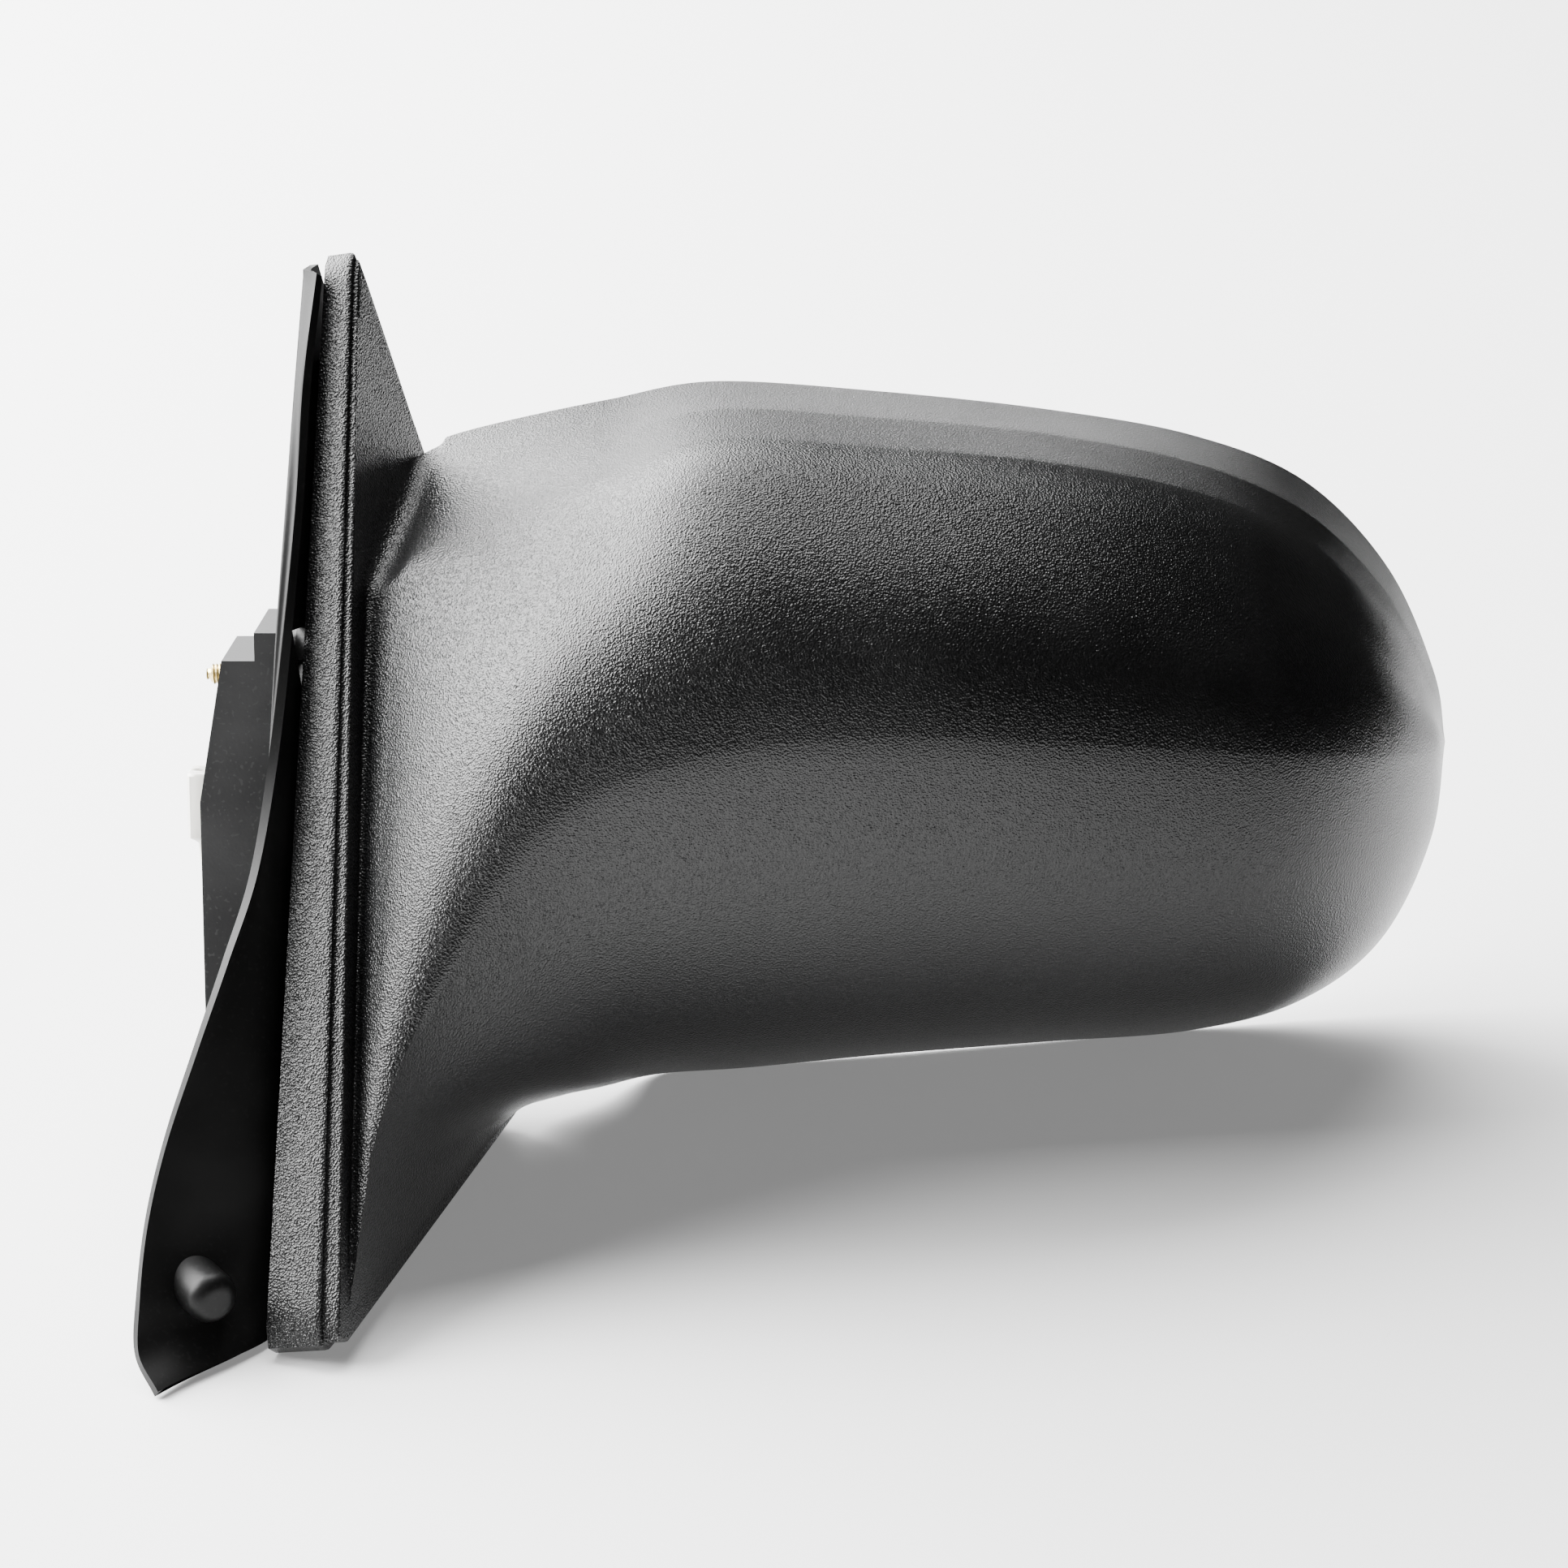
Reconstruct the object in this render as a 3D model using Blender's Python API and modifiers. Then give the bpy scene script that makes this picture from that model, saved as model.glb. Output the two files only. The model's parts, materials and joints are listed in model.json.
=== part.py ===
"""Power side mirror of a car, left hand, fixed head: solids at real size, in metres.

The pieces are modelled in the car's own axes (+X outboard, +Y rearward, +Z up, origin on the
flat inboard face of the base). One empty, car_axes, then lays the whole mirror down on a table,
nose up, as it lies when it is off the car.
"""

from math import atan, cos, pi, radians, sin

import bmesh
import bpy
import numpy as np
from mathutils import Matrix, Vector

MM = 0.001

# ---- how it lies -------------------------------------------------------------------------
LIE_SLOPE = 0.247              # rise over run of the table in the car's axes
LIE_PITCH = -atan(LIE_SLOPE)   # turn about X that makes that slope level

# ---- housing: sail (the triangular flange) ------------------------------------------------
SAIL_FRONT = Vector((24.8, -69.0, -88.6))   # lowest corner, at the front
SAIL_TOP = Vector((26.0, 31.0, 110.0))
SAIL_REAR = Vector((55.0, 24.4, -65.9))     # lower rear corner
RIM_DEPTH_FRONT = 11.4         # depth of the rim wall at the front corner
RIM_DEPTH_TOP = 5.8            # and at the top corner
STEP_INSET = 1.0               # ledge between the rim and the sail's raised face
STEP_FRONT = 3.6               # height of that step at the front corner
STEP_TOP = 0.8                 # and at the top corner
CORNER_R = 3.0                 # lower corners of the sail's outline
TOP_R = 1.2                    # its top corner
WALL = 2.5                     # housing wall
ROOT_LOOPS = 5                 # loops of the root that the cavity leaves solid
THROAT_INSET = 8.0             # root's outline to the cavity's throat
THROAT_REAR = 7.5              # the same along the rear
CAVITY_END = 4                 # loops next to the tip that stay solid
LOOP_COUNTS = (9, 9, 6, 3, 6)  # points of a loop: belly, face, roof's front and back, rear
REAR_LEDGE = 1.0               # flat strip of the sail behind the neck
FULL_FORM = 2.6                # stations from the sail at which sections have their full curves
TIP_REACH = 2.5                # how far the cavity's end bulges past its last loop

# ---- housing: head -------------------------------------------------------------------------
REAR_X, REAR_Y = 108.0, 48.6   # a point of the rear plane, which stands upright
REAR_YAW = 0.165               # rearward run of that plane for each mm outboard
CREASE_ROUND = 9.0             # rounding of the upper crease

# Feature lines of neck and head, from the sail to the tip, as (x, y, z); a y of None is taken
# from the rear plane.
REAR_TOP = [(45, 41.5, 70.2), (58, 42.3, 73.4), (76, None, 77), (97, None, 80.2), (130, None, 77.5),
            (165, None, 73), (195, None, 67), (218.5, None, 57), (236.5, None, 38.5),
            (247, None, 16), (249.8, None, 1)]
UPPER_CREASE = [(39, 3, 50.3), (54, -2, 56.8), (75, -9, 66), (97, -12, 75), (130, -10, 73.3),
                (165, -4, 69.3), (195, 8, 60.8), (216, 22, 48.5), (232, 38, 32.5),
                (244, 56, 14), (249.8, None, 1)]
LOWER_CREASE = [(35, -48, -48), (49, -42, -17.5), (67, -40.5, 7.5), (95, -40.5, 20),
                (130, -38, 23.3), (165, -32, 20.8), (195, -21, 17.2), (216, -6, 13.8),
                (231.5, 15, 9.5), (244, 44, 4.5), (249.8, None, 1)]
REAR_BOTTOM = [(61, 26.6, -64.6), (72, 34, -63.6), (85, None, -63.2), (104, None, -62.7),
               (133, None, -61.1), (165, None, -59.9), (195, None, -58.9), (217.5, None, -54),
               (235, None, -42), (246, None, -21), (249.8, None, 1)]
# Where the neck meets the sail's raised face, as (y, z); x follows from the face.
ROOT_TOP, ROOT_MIDDLE, ROOT_UPPER, ROOT_LOWER, ROOT_BOTTOM = (
    (39.8, 64.5), (22.0, 55.0), (4.0, 41.0), (-60.0, -79.0), (21.6, -63.9))

# ---- mirror glass and its drive, in the mirror's own frame: (across, forward to back, up) ---
GLASS_X, GLASS_Z = 166.0, 9.0  # centre of the opening on the rear plane
PIVOT_DEPTH = 17.5             # pivot below the rear plane
OPENING = [(-77.0, 66.0, 26.0), (73.0, 50.0, 54.0), (73.0, -59.0, 50.0), (-77.0, -65.0, 26.0)]
POCKET_INSET, POCKET_DEPTH = 2.8, 21.5   # room behind the opening that the glass swings into
GLASS_GAP = 4.5                # opening's edge to the glass
GLASS_T = 2.2
PAD_T, PAD_HALF = 0.5, (46.0, 36.0)
HOLDER_T, HOLDER_LIP, LIP_PROUD = 2.0, 1.0, 0.3
SNAP_R, SNAP_T = 36.0, 3.0     # snap ring on the holder's back, round the carrier
CARRIER_BACK, CARRIER_T = 4.8, 2.0
FIT = 0.3                      # gap between pieces that touch
RUN = 0.1                      # running clearance of a pin in its hole
RING_IN, RING_OUT, RING_HALF = 14.5, 17.5, 1.8
PIN_R, PIN_END = 1.6, 21.5
EAR_IN, EAR_OUT, EAR_HALF, EAR_TOP = 18.3, 22.0, 3.2, 2.4   # ears that hold the ring's pins
EAR_ROOM = 1.5                 # slot in the carrier round each ear of the case
PLUNGER_ARM = 30.0             # plunger's axis to the pivot
PLUNGER_R, NECK_R, BALL_R = 3.0, 2.2, 4.0
BALL_PLAY = 0.5
SOCKET_WALL, SOCKET_LOW = 1.5, -2.5
PLUNGER_FRONT, PLUNGER_SHOULDER = -25.0, -6.0
DRIVE_DEPTH = -21.0            # wheels, worms and motors lie in this plane
WHEEL_TEETH, MODULE, WHEEL_W = 24, 0.8, 2.4
TIP_CLEAR = 0.25               # crest of wheel and worm to the other's root
WORM_R, WORM_HALF = 2.8, 5.0   # pitch radius and half its length
WORM_HAND = 1                  # 1 for a right-hand thread
MOTOR_R, MOTOR_L, MOTOR_GAP = 7.5, 20.0, 6.0
SHAFT_R = 1.0
CASE_LOW, CASE_HIGH = -43.5, 34.0        # both ways across the case
CASE_BACK, CASE_SPLIT, CASE_FRONT = -9.5, -12.0, -32.0
CASE_WALL, CASE_CORNER, COLUMN_R = 2.0, 8.0, 20.0
SMALL_SCREW_R, SMALL_HEAD_R, SMALL_HEAD_H, SMALL_SCREW_L = 1.3, 2.5, 1.8, 9.0
POST_R = 4.9                   # posts inside the housing that its screws go into
SCREW_INSET = 5.2              # case screws from the case's sides

# ---- base ------------------------------------------------------------------------------------
BASE_CLEAR = 1.3               # base to the inside of the housing's rim
BASE_LEVEL, BASE_T = -3.2, 2.5 # top of the base plate below the sail's plane, and its thickness
BASE_WALL, BASE_PROUD = 2.5, 1.0
BOSS_X0, BOSS_X1 = -2.7, 15.0    # the boss's flat inboard face, and its root
BOSS_Y0, BOSS_Y1, BOSS_Z0, BOSS_Z1 = -2.5, 25.0, -50.0, 32.0
BOSS_STEP_X, BOSS_STEP_Z = 8.5, 37.5     # higher block at the boss's top, from this x outboard
BOSS_FLAT_TOP, BOSS_SLOPE = 4.0, 4.8     # the inboard face is flat up to here, then slopes away
GASKET_T = 1.8
WINDOW_GAP = 0.6
GASKET_LEVEL = 1.7             # gasket beyond the rim's mounting edge
GASKET_REAR = 1.5              # its rear edge inside the rim's
GASKET_EDGE = [(-5, -74, -92.6), (-9.2, -69, -86), (-9.2, -65, -76), (-8, -58, -63), (-5, -51, -49.5),
               (0, -43.5, -34), (5, -36, -19), (9.5, -28, -4.5), (12.4, -19, 14.5), (14.6, -8, 37),
               (16.4, 5, 62), (17.2, 16, 84), (19.2, 27, 104)]
GASKET_FLARE = [23, 23, 22, 21, 19, 16, 13, 9, 7, 5, 4, 4, 3]   # width of the flared front strip
PEG_FOOT, PEG_TIP, PEG_R = (-2.0, -54.0, -74.5), (4.5, -64.0, -76.5), 5.0
SCREW_R, SCREW_HEAD_R, SCREW_HEAD_H = 2.1, 4.0, 2.4
INSERT_R, INSERT_BORE, INSERT_L = 4.5, 2.6, 10.0
INSERTS = [(6.5, -42.0), (18.5, -42.0), (12.5, -6.0)]
BRACKET_SCREWS = [(13.0, 26.6, -2.6), (11.0, -17.0, 24.0), (16.5, -29.5, 24.0)]   # y, z, tip's x
SEAT_LOW, SEAT_HIGH = (11.0, 6.5, -35.0), (50.5, 21.0, 33.0)   # block the bracket stands on
FLANGE = (50.8, 52.8)
CORES = [(-12.0, 22.0)]           # z ranges of the boss's cored-out rooms
CORE_WALL, CORE_FLOOR = 3.0, 14.0
ARM_SHEET, ARM_FLANGE, ARM_Z0, ARM_Z1 = 1.8, 12.0, -12.0, 18.0
ARM_END, ARM_FLANGE_END = 139.0, 127.0
ARM_Y = -0.2                   # front face of the arm's web
BRACKET_T = 2.2
HOUSING_SCREWS = [(27.0, 79.0), (-40.0, -75.3)]   # y, z on the sail
CABLE_R, CABLE_HOLE = 2.6, (28.0, -2.0)           # y, z of the cable's way through the base
GROMMET_WALL = 1.6
CABLE_INSIDE = [(128.6, 9.0, -22.0), (112.0, 8.5, -22.0), (92.0, 11.0, -20.0), (70.0, 20.0, -10.0)]
CABLE_LOOP = [(24.0, 2.5, -9.0), (13.0, 1.5, -15.0), (4.0, 0.5, -13.0), (0.4, 0.0, -7.0)]
CONNECTOR_LOW, CONNECTOR_HIGH = (-9.4, 27.6, -16.2), (5.5, 37.5, 3.2)

PARTS = "car_side_mirror"
CUTTERS = "cutters"


# ------------------------------------------------------------------------------ scene basics
def clear_scene():
    for thing in list(bpy.data.objects):
        bpy.data.objects.remove(thing)


def collection(name):
    made = bpy.data.collections.get(name)
    if made is None:
        made = bpy.data.collections.new(name)
        bpy.context.scene.collection.children.link(made)
    return made


def material(name, colour, roughness, metallic=0.0):
    made = bpy.data.materials.get(name)
    if made is None:
        made = bpy.data.materials.new(name)
        made.use_nodes = True
        shader = made.node_tree.nodes["Principled BSDF"]
        shader.inputs["Base Color"].default_value = (*colour, 1.0)
        shader.inputs["Roughness"].default_value = roughness
        shader.inputs["Metallic"].default_value = metallic
    return made


def black_plastic():
    return material("black_textured_plastic", (0.02, 0.02, 0.022), 0.5)


def gasket_rubber():
    return material("gasket_rubber", (0.012, 0.012, 0.012), 0.35)


def grey_plastic():
    return material("dark_grey_plastic", (0.035, 0.036, 0.038), 0.5)


def steel():
    return material("zinc_steel", (0.55, 0.55, 0.57), 0.35, 1.0)


def yellow_zinc():
    return material("yellow_zinc", (0.62, 0.5, 0.28), 0.35, 1.0)


def brass():
    return material("brass", (0.75, 0.58, 0.28), 0.35, 1.0)


def natural_nylon():
    return material("natural_nylon", (0.8, 0.79, 0.75), 0.45)


def mirror_silver():
    return material("mirror_glass", (0.9, 0.91, 0.92), 0.02, 1.0)


def foam():
    return material("black_foam", (0.03, 0.03, 0.03), 0.9)


def empty(name, parent=None, location=(0, 0, 0), turn=(0, 0, 0)):
    made = bpy.data.objects.new(name, None)
    made.location = Vector(location) * MM
    made.rotation_euler = turn
    made.parent = parent
    collection(PARTS).objects.link(made)
    return made


def place(name, bm, finish, parent, home=PARTS, origin=(0, 0, 0)):
    """Turn a bmesh in millimetres into an object whose origin stands at the given point."""
    origin = Vector(origin)
    bmesh.ops.recalc_face_normals(bm, faces=bm.faces)
    bmesh.ops.transform(bm, matrix=Matrix.Scale(MM, 4) @ Matrix.Translation(-origin), verts=bm.verts)
    mesh = bpy.data.meshes.new(name)
    bm.to_mesh(mesh)
    bm.free()
    mesh.shade_smooth()
    mesh.set_sharp_from_angle(angle=radians(35))
    made = bpy.data.objects.new(name, mesh)
    made.location = origin * MM
    made.parent = parent
    if finish is not None:
        mesh.materials.append(finish)
    collection(home).objects.link(made)
    if home == CUTTERS:
        made.hide_render = True
        made.display_type = "WIRE"
    return made


def boolean(target, tool, operation):
    step = target.modifiers.new(tool.name, "BOOLEAN")
    step.operation = operation
    step.object = tool
    return step


def cut(target, *tools):
    for tool in tools:
        boolean(target, tool, "DIFFERENCE")


def join(target, *tools):
    for tool in tools:
        boolean(target, tool, "UNION")


# ------------------------------------------------------------------------------ basic solids
def box_mesh(low, high):
    low, high = Vector(low), Vector(high)
    bm = bmesh.new()
    size = high - low
    turn = Matrix.Translation((low + high) / 2) @ Matrix.Diagonal((*size, 1.0))
    bmesh.ops.create_cube(bm, size=1.0, matrix=turn)
    return bm


def rod_mesh(start, end, radius, radius_end=None, sides=24):
    start, end = Vector(start), Vector(end)
    bm = bmesh.new()
    way = end - start
    turn = way.to_track_quat("Z", "Y").to_matrix().to_4x4()
    bmesh.ops.create_cone(
        bm, cap_ends=True, segments=sides, radius1=radius,
        radius2=radius if radius_end is None else radius_end,
        depth=way.length, matrix=Matrix.Translation((start + end) / 2) @ turn)
    return bm


def rounded_outline(corners, steps=6):
    """Closed outline of a polygon whose corners (a, b, radius) are rounded by arcs."""
    points = []
    count = len(corners)
    for i in range(count):
        here = Vector(corners[i][:2])
        before = (Vector(corners[i - 1][:2]) - here).normalized()
        after = (Vector(corners[(i + 1) % count][:2]) - here).normalized()
        half = before.angle(after) / 2
        centre = here + (before + after).normalized() * (corners[i][2] / sin(half))
        reach = corners[i][2] / np.tan(half)
        first, last = here + before * reach - centre, here + after * reach - centre
        sweep = first.angle_signed(last)
        for k in range(steps + 1):
            points.append(centre + Matrix.Rotation(-sweep * k / steps, 2) @ first)
    return points


def inset(corners, gap):
    """The same outline, smaller by gap all round."""
    made = []
    count = len(corners)
    for i in range(count):
        here = Vector(corners[i][:2])
        before = (Vector(corners[i - 1][:2]) - here).normalized()
        after = (Vector(corners[(i + 1) % count][:2]) - here).normalized()
        half = before.angle(after) / 2
        moved = here + (before + after).normalized() * (gap / sin(half))
        made.append((moved.x, moved.y, max(corners[i][2] - gap, 0.5)))
    return made


def slab_mesh(outline, back, front):
    """Flat plate of an (across, up) outline between two depths."""
    bm = bmesh.new()
    face = bm.faces.new([bm.verts.new((p[0], back, p[1])) for p in outline])
    raised = bmesh.ops.extrude_face_region(bm, geom=[face])
    moved = [v for v in raised["geom"] if isinstance(v, bmesh.types.BMVert)]
    bmesh.ops.translate(bm, verts=moved, vec=(0, front - back, 0))
    bmesh.ops.triangulate(bm, faces=bm.faces)
    return bm


def stack_mesh(levels):
    """Closed solid through (across, up) outlines of equal length at the depths given."""
    bm = bmesh.new()
    rings = [[bm.verts.new((p[0], depth, p[1])) for p in outline] for outline, depth in levels]
    count = len(rings[0])
    for low, high in zip(rings, rings[1:]):
        for k in range(count):
            k2 = (k + 1) % count
            bm.faces.new([low[k], low[k2], high[k2], high[k]])
    bm.faces.new(rings[0])
    bm.faces.new(rings[-1])
    return bm


def turned_mesh(profile, centre, axis, sides=24):
    """Solid of revolution: profile rows are (distance along the axis, radius)."""
    bm = bmesh.new()
    frame = Vector(axis).to_track_quat("Z", "Y").to_matrix()
    rings = []
    for along, radius in profile:
        if radius < 1e-6:
            rings.append([bm.verts.new(Vector(centre) + frame @ Vector((0, 0, along)))])
            continue
        rings.append([bm.verts.new(Vector(centre) + frame @ Vector(
            (radius * cos(2 * pi * k / sides), radius * sin(2 * pi * k / sides), along)))
            for k in range(sides)])
    for low, high in zip(rings, rings[1:]):
        for k in range(sides):
            k2 = (k + 1) % sides
            around = [low[k % len(low)], low[k2 % len(low)], high[k2 % len(high)], high[k % len(high)]]
            kept = list(dict.fromkeys(around))
            if len(kept) > 2:
                bm.faces.new(kept)
    for ring in (rings[0], rings[-1]):
        if len(ring) > 1:
            bm.faces.new(ring)
    return bm


def tube_mesh(centre, axis, inner, outer, low, high, sides=32):
    """Ring of rectangular section about an axis."""
    bm = bmesh.new()
    frame = Vector(axis).to_track_quat("Z", "Y").to_matrix()
    loop = [(inner, low), (outer, low), (outer, high), (inner, high)]
    rings = [[bm.verts.new(Vector(centre) + frame @ Vector(
        (r * cos(2 * pi * k / sides), r * sin(2 * pi * k / sides), h))) for r, h in loop]
        for k in range(sides)]
    for k in range(sides):
        here, there = rings[k], rings[(k + 1) % sides]
        for j in range(4):
            bm.faces.new([here[j], here[(j + 1) % 4], there[(j + 1) % 4], there[j]])
    return bm


# ------------------------------------------------------------------------------ housing shell
def rear_plane_y(x):
    return REAR_Y + REAR_YAW * (x - REAR_X)


def sail_normal():
    return (SAIL_TOP - SAIL_FRONT).cross(SAIL_REAR - SAIL_FRONT).normalized() * -1.0


def sail_x(y, z, raised=0.0):
    """x of the sail's plane at (y, z), moved out along its normal by raised."""
    n = sail_normal()
    foot = SAIL_FRONT + n * raised
    return foot.x - (n.y * (y - foot.y) + n.z * (z - foot.z)) / n.x


def height_share(z):
    """0 at the sail's front corner, 1 at its top."""
    share = (z - SAIL_FRONT.z) / (SAIL_TOP.z - SAIL_FRONT.z)
    return min(max(share, 0.0), 1.0)


def sail_corners():
    """Outline of the sail in (y, z, radius): front, top, rear edge's knee, rear."""
    knee = (43.5, 62.0, 30.0)
    return [(SAIL_FRONT.y, SAIL_FRONT.z, CORNER_R), (SAIL_TOP.y, SAIL_TOP.z, TOP_R), knee,
            (40.0, 0.0, 40.0), (SAIL_REAR.y, SAIL_REAR.z, CORNER_R)]


def sail_loop(gap, counts):
    """Sail's outline, smaller by gap, as points (y, z) in five stretches that match the head's.

    The stretches run rear corner to front corner, front corner to the upper crease's root,
    on to the top, down to the rear top root, and down the rear edge.
    """
    corners = inset(sail_corners(), gap) if gap > 0 else sail_corners()
    steps = 5
    ring = [Vector((p[0], p[1])) for p in rounded_outline(corners, steps)]
    block = steps + 1
    middle = block // 2
    front, top, knee = ring[middle], ring[block + middle], ring[2 * block + middle]
    count = len(ring)
    start = 4 * block + middle
    order = [ring[(start + k) % count] for k in range(count + 1)]
    lengths = np.concatenate([[0.0], np.cumsum([(b - a).length for a, b in zip(order, order[1:])])])
    at_front = lengths[order.index(front)]
    at_top = lengths[order.index(top)]
    at_knee = lengths[order.index(knee)]
    at_upper = at_front + 0.68 * (at_top - at_front)
    marks = [0.0, at_front, at_upper, at_top, at_knee, lengths[-1]]
    ys = [p.x for p in order]
    zs = [p.y for p in order]
    made = []
    for low, high, number in zip(marks, marks[1:], counts):
        reach = np.linspace(low, high, number + 1)[:-1]
        made += list(zip(np.interp(reach, lengths, ys), np.interp(reach, lengths, zs)))
    return np.array(made)


def spline(points, count):
    """Catmull-Rom curve through the points, read at evenly spaced values of its parameter."""
    points = np.asarray(points, float)
    last = len(points) - 1
    t = np.linspace(0.0, last, count)
    i = np.clip(t.astype(int), 0, last - 1)
    f = (t - i)[:, None]
    padded = np.vstack([2 * points[0] - points[1], points, 2 * points[-1] - points[-2]])
    a, b, c, d = padded[i], padded[i + 1], padded[i + 2], padded[i + 3]
    return 0.5 * (2 * b + (c - a) * f + (2 * a - 5 * b + 4 * c - d) * f**2
                  + (3 * b - a - 3 * c + d) * f**3)


def feature_line(rows, root, count):
    """Feature line from its root on the sail, round the root fillet, to the tip."""
    foot = np.array([sail_x(*root, step_height(root[1])), *root])
    points = [foot] + [np.array([x, rear_plane_y(x) if y is None else y, z]) for x, y, z in rows]
    return spline(points, count)


def step_height(z):
    share = height_share(z)
    return STEP_FRONT * (1 - share) + STEP_TOP * share


def bezier(p0, p1, p2, p3, t):
    t = t[:, None]
    return (1 - t)**3 * p0 + 3 * (1 - t)**2 * t * p1 + 3 * (1 - t) * t**2 * p2 + t**3 * p3


def section(bottom, lower, upper, middle, top, form, counts):
    """One closed loop of the neck or head through its feature points.

    form goes from 0, straight stretches, at the sail to 1, the head's full curves.
    """
    n_low, n_front, n_fore, n_aft, n_rear = counts
    reach = np.linalg.norm(lower - bottom)
    pull_a = bottom + reach * 0.48 * np.array([0, -0.97, 0.2])
    pull_b = lower + reach * 0.42 * np.array([0, 0.22, -0.97])
    third_a, third_b = bottom + (lower - bottom) / 3, lower + (bottom - lower) / 3
    belly = bezier(bottom, third_a + form * (pull_a - third_a), third_b + form * (pull_b - third_b),
                   lower, np.linspace(0, 1, n_low + 1)[:-1])
    reach = np.linalg.norm(upper - lower)
    pull_a = lower + reach * 0.40 * np.array([0, 0.03, 1.0])
    pull_b = upper + reach * 0.36 * np.array([0, -0.74, -0.67])
    third_a, third_b = lower + (upper - lower) / 3, upper + (lower - upper) / 3
    trim = min(CREASE_ROUND, 0.3 * np.linalg.norm(top - upper)) * form
    share = trim / max(reach, 1e-6)
    face = bezier(lower, third_a + form * (pull_a - third_a), third_b + form * (pull_b - third_b),
                  upper, np.linspace(0, 1 - share, n_front + 1)[:-1])
    crown = middle + form * np.array([0, 0, 0.012 * np.linalg.norm(top - upper)])
    roof = upper + (middle - upper) * (trim / max(np.linalg.norm(middle - upper), 1e-6))
    end = bezier(lower, third_a + form * (pull_a - third_a), third_b + form * (pull_b - third_b),
                 upper, np.array([1 - share]))[0]
    round_count = 3
    fore = np.vstack([
        ((1 - s)**2 * end + 2 * (1 - s) * s * upper + s**2 * roof)
        for s in np.linspace(0, 1, round_count + 1)[:-1]]
        + [roof + (crown - roof) * s for s in np.linspace(0, 1, n_fore - round_count + 1)[:-1]])
    aft = crown + (top - crown) * np.linspace(0, 1, n_aft + 1)[:-1][:, None]
    rear = top + (bottom - top) * np.linspace(0, 1, n_rear + 1)[:-1][:, None]
    return np.vstack([belly, face, fore, aft, rear])


def smooth(x):
    x = min(max(x, 0.0), 1.0)
    return x * x * (3 - 2 * x)


def rim_rows(gap, beyond):
    """Loops of the sail's rim, ledge and raised face, from the mounting edge outboard.

    gap makes them the inside of a wall of that thickness, and beyond runs the first loop past
    the mounting edge.
    """
    n = np.array(sail_normal())
    edge = sail_loop(gap, LOOP_COUNTS)
    ledge = sail_loop(gap + STEP_INSET, LOOP_COUNTS)
    depth = np.array([rim_depth(z) for z in edge[:, 1]])[:, None]
    raised = np.array([step_height(z) for z in ledge[:, 1]])[:, None]
    top = np.array([[sail_x(y, z, -gap), y, z] for y, z in edge])
    mouth = np.array([[sail_x(y, z), y, z] for y, z in edge]) - (depth + beyond) * n
    foot = np.array([[sail_x(y, z, -gap), y, z] for y, z in ledge])
    return [mouth, (mouth + top) / 2, top, foot, foot + raised * n]


def rim_depth(z):
    share = height_share(z)
    return RIM_DEPTH_FRONT * (1 - share) + RIM_DEPTH_TOP * share


def head_rows(stations=30):
    """Loops of the neck and head from their root on the sail's raised face to the tip."""
    top = feature_line(REAR_TOP, ROOT_TOP, stations)
    upper = feature_line(UPPER_CREASE, ROOT_UPPER, stations)
    lower = feature_line(LOWER_CREASE, ROOT_LOWER, stations)
    bottom = feature_line(REAR_BOTTOM, ROOT_BOTTOM, stations)
    middle = (top + upper) / 2
    middle[0] = [sail_x(*ROOT_MIDDLE, step_height(ROOT_MIDDLE[1])), *ROOT_MIDDLE]
    loops = []
    for k in range(stations):
        form = smooth(k / (stations - 1) * len(REAR_TOP) / FULL_FORM)
        loops.append(section(bottom[k], lower[k], upper[k], middle[k], top[k], form, LOOP_COUNTS))
    return loops


def housing_rows():
    """All loops of the housing's outer skin, from the rim's inboard edge to the tip."""
    rim = rim_rows(0.0, 0.0)
    loops = head_rows()
    face, root, first = rim[-1], loops[0], loops[1]
    rear = sum(LOOP_COUNTS[:4])
    root[rear:] = face[rear:] - np.array([0, REAR_LEDGE, 0])
    near = face + (root - face) * 0.85
    return rim + [face + (root - face) * 0.45, near, (root + (near + first) / 2) / 2] + loops[1:]


def net_mesh(rows, base, tip):
    """Closed solid over loops of equal length: a net of quads between two end points."""
    bm = bmesh.new()
    rings = [[bm.verts.new(p) for p in row] for row in rows]
    ends = [bm.verts.new(base), bm.verts.new(tip)]
    count = len(rings[0])
    for here, there in zip(rings, rings[1:]):
        for k in range(count):
            k2 = (k + 1) % count
            bm.faces.new([here[k], here[k2], there[k2], there[k]])
    for k in range(count):
        k2 = (k + 1) % count
        bm.faces.new([rings[0][k2], rings[0][k], ends[0]])
        bm.faces.new([rings[-1][k], rings[-1][k2], ends[1]])
    return bm


def offset_rows(rows, gap):
    """The net moved in by gap along its own normals."""
    grid = np.array(rows)
    ahead = np.roll(grid, -1, axis=1) - grid
    ahead /= np.maximum(np.linalg.norm(ahead, axis=2, keepdims=True), 1e-9)
    around = ahead + np.roll(ahead, 1, axis=1)
    along = np.gradient(grid, axis=0)
    normal = np.cross(around, along)
    normal /= np.maximum(np.linalg.norm(normal, axis=2, keepdims=True), 1e-9)
    centre = grid.mean(axis=1, keepdims=True)
    outward = np.sign(np.sum(normal * (grid - centre), axis=(1, 2)))[:, None, None]
    return grid - gap * normal * np.sign(outward.sum())


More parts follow.
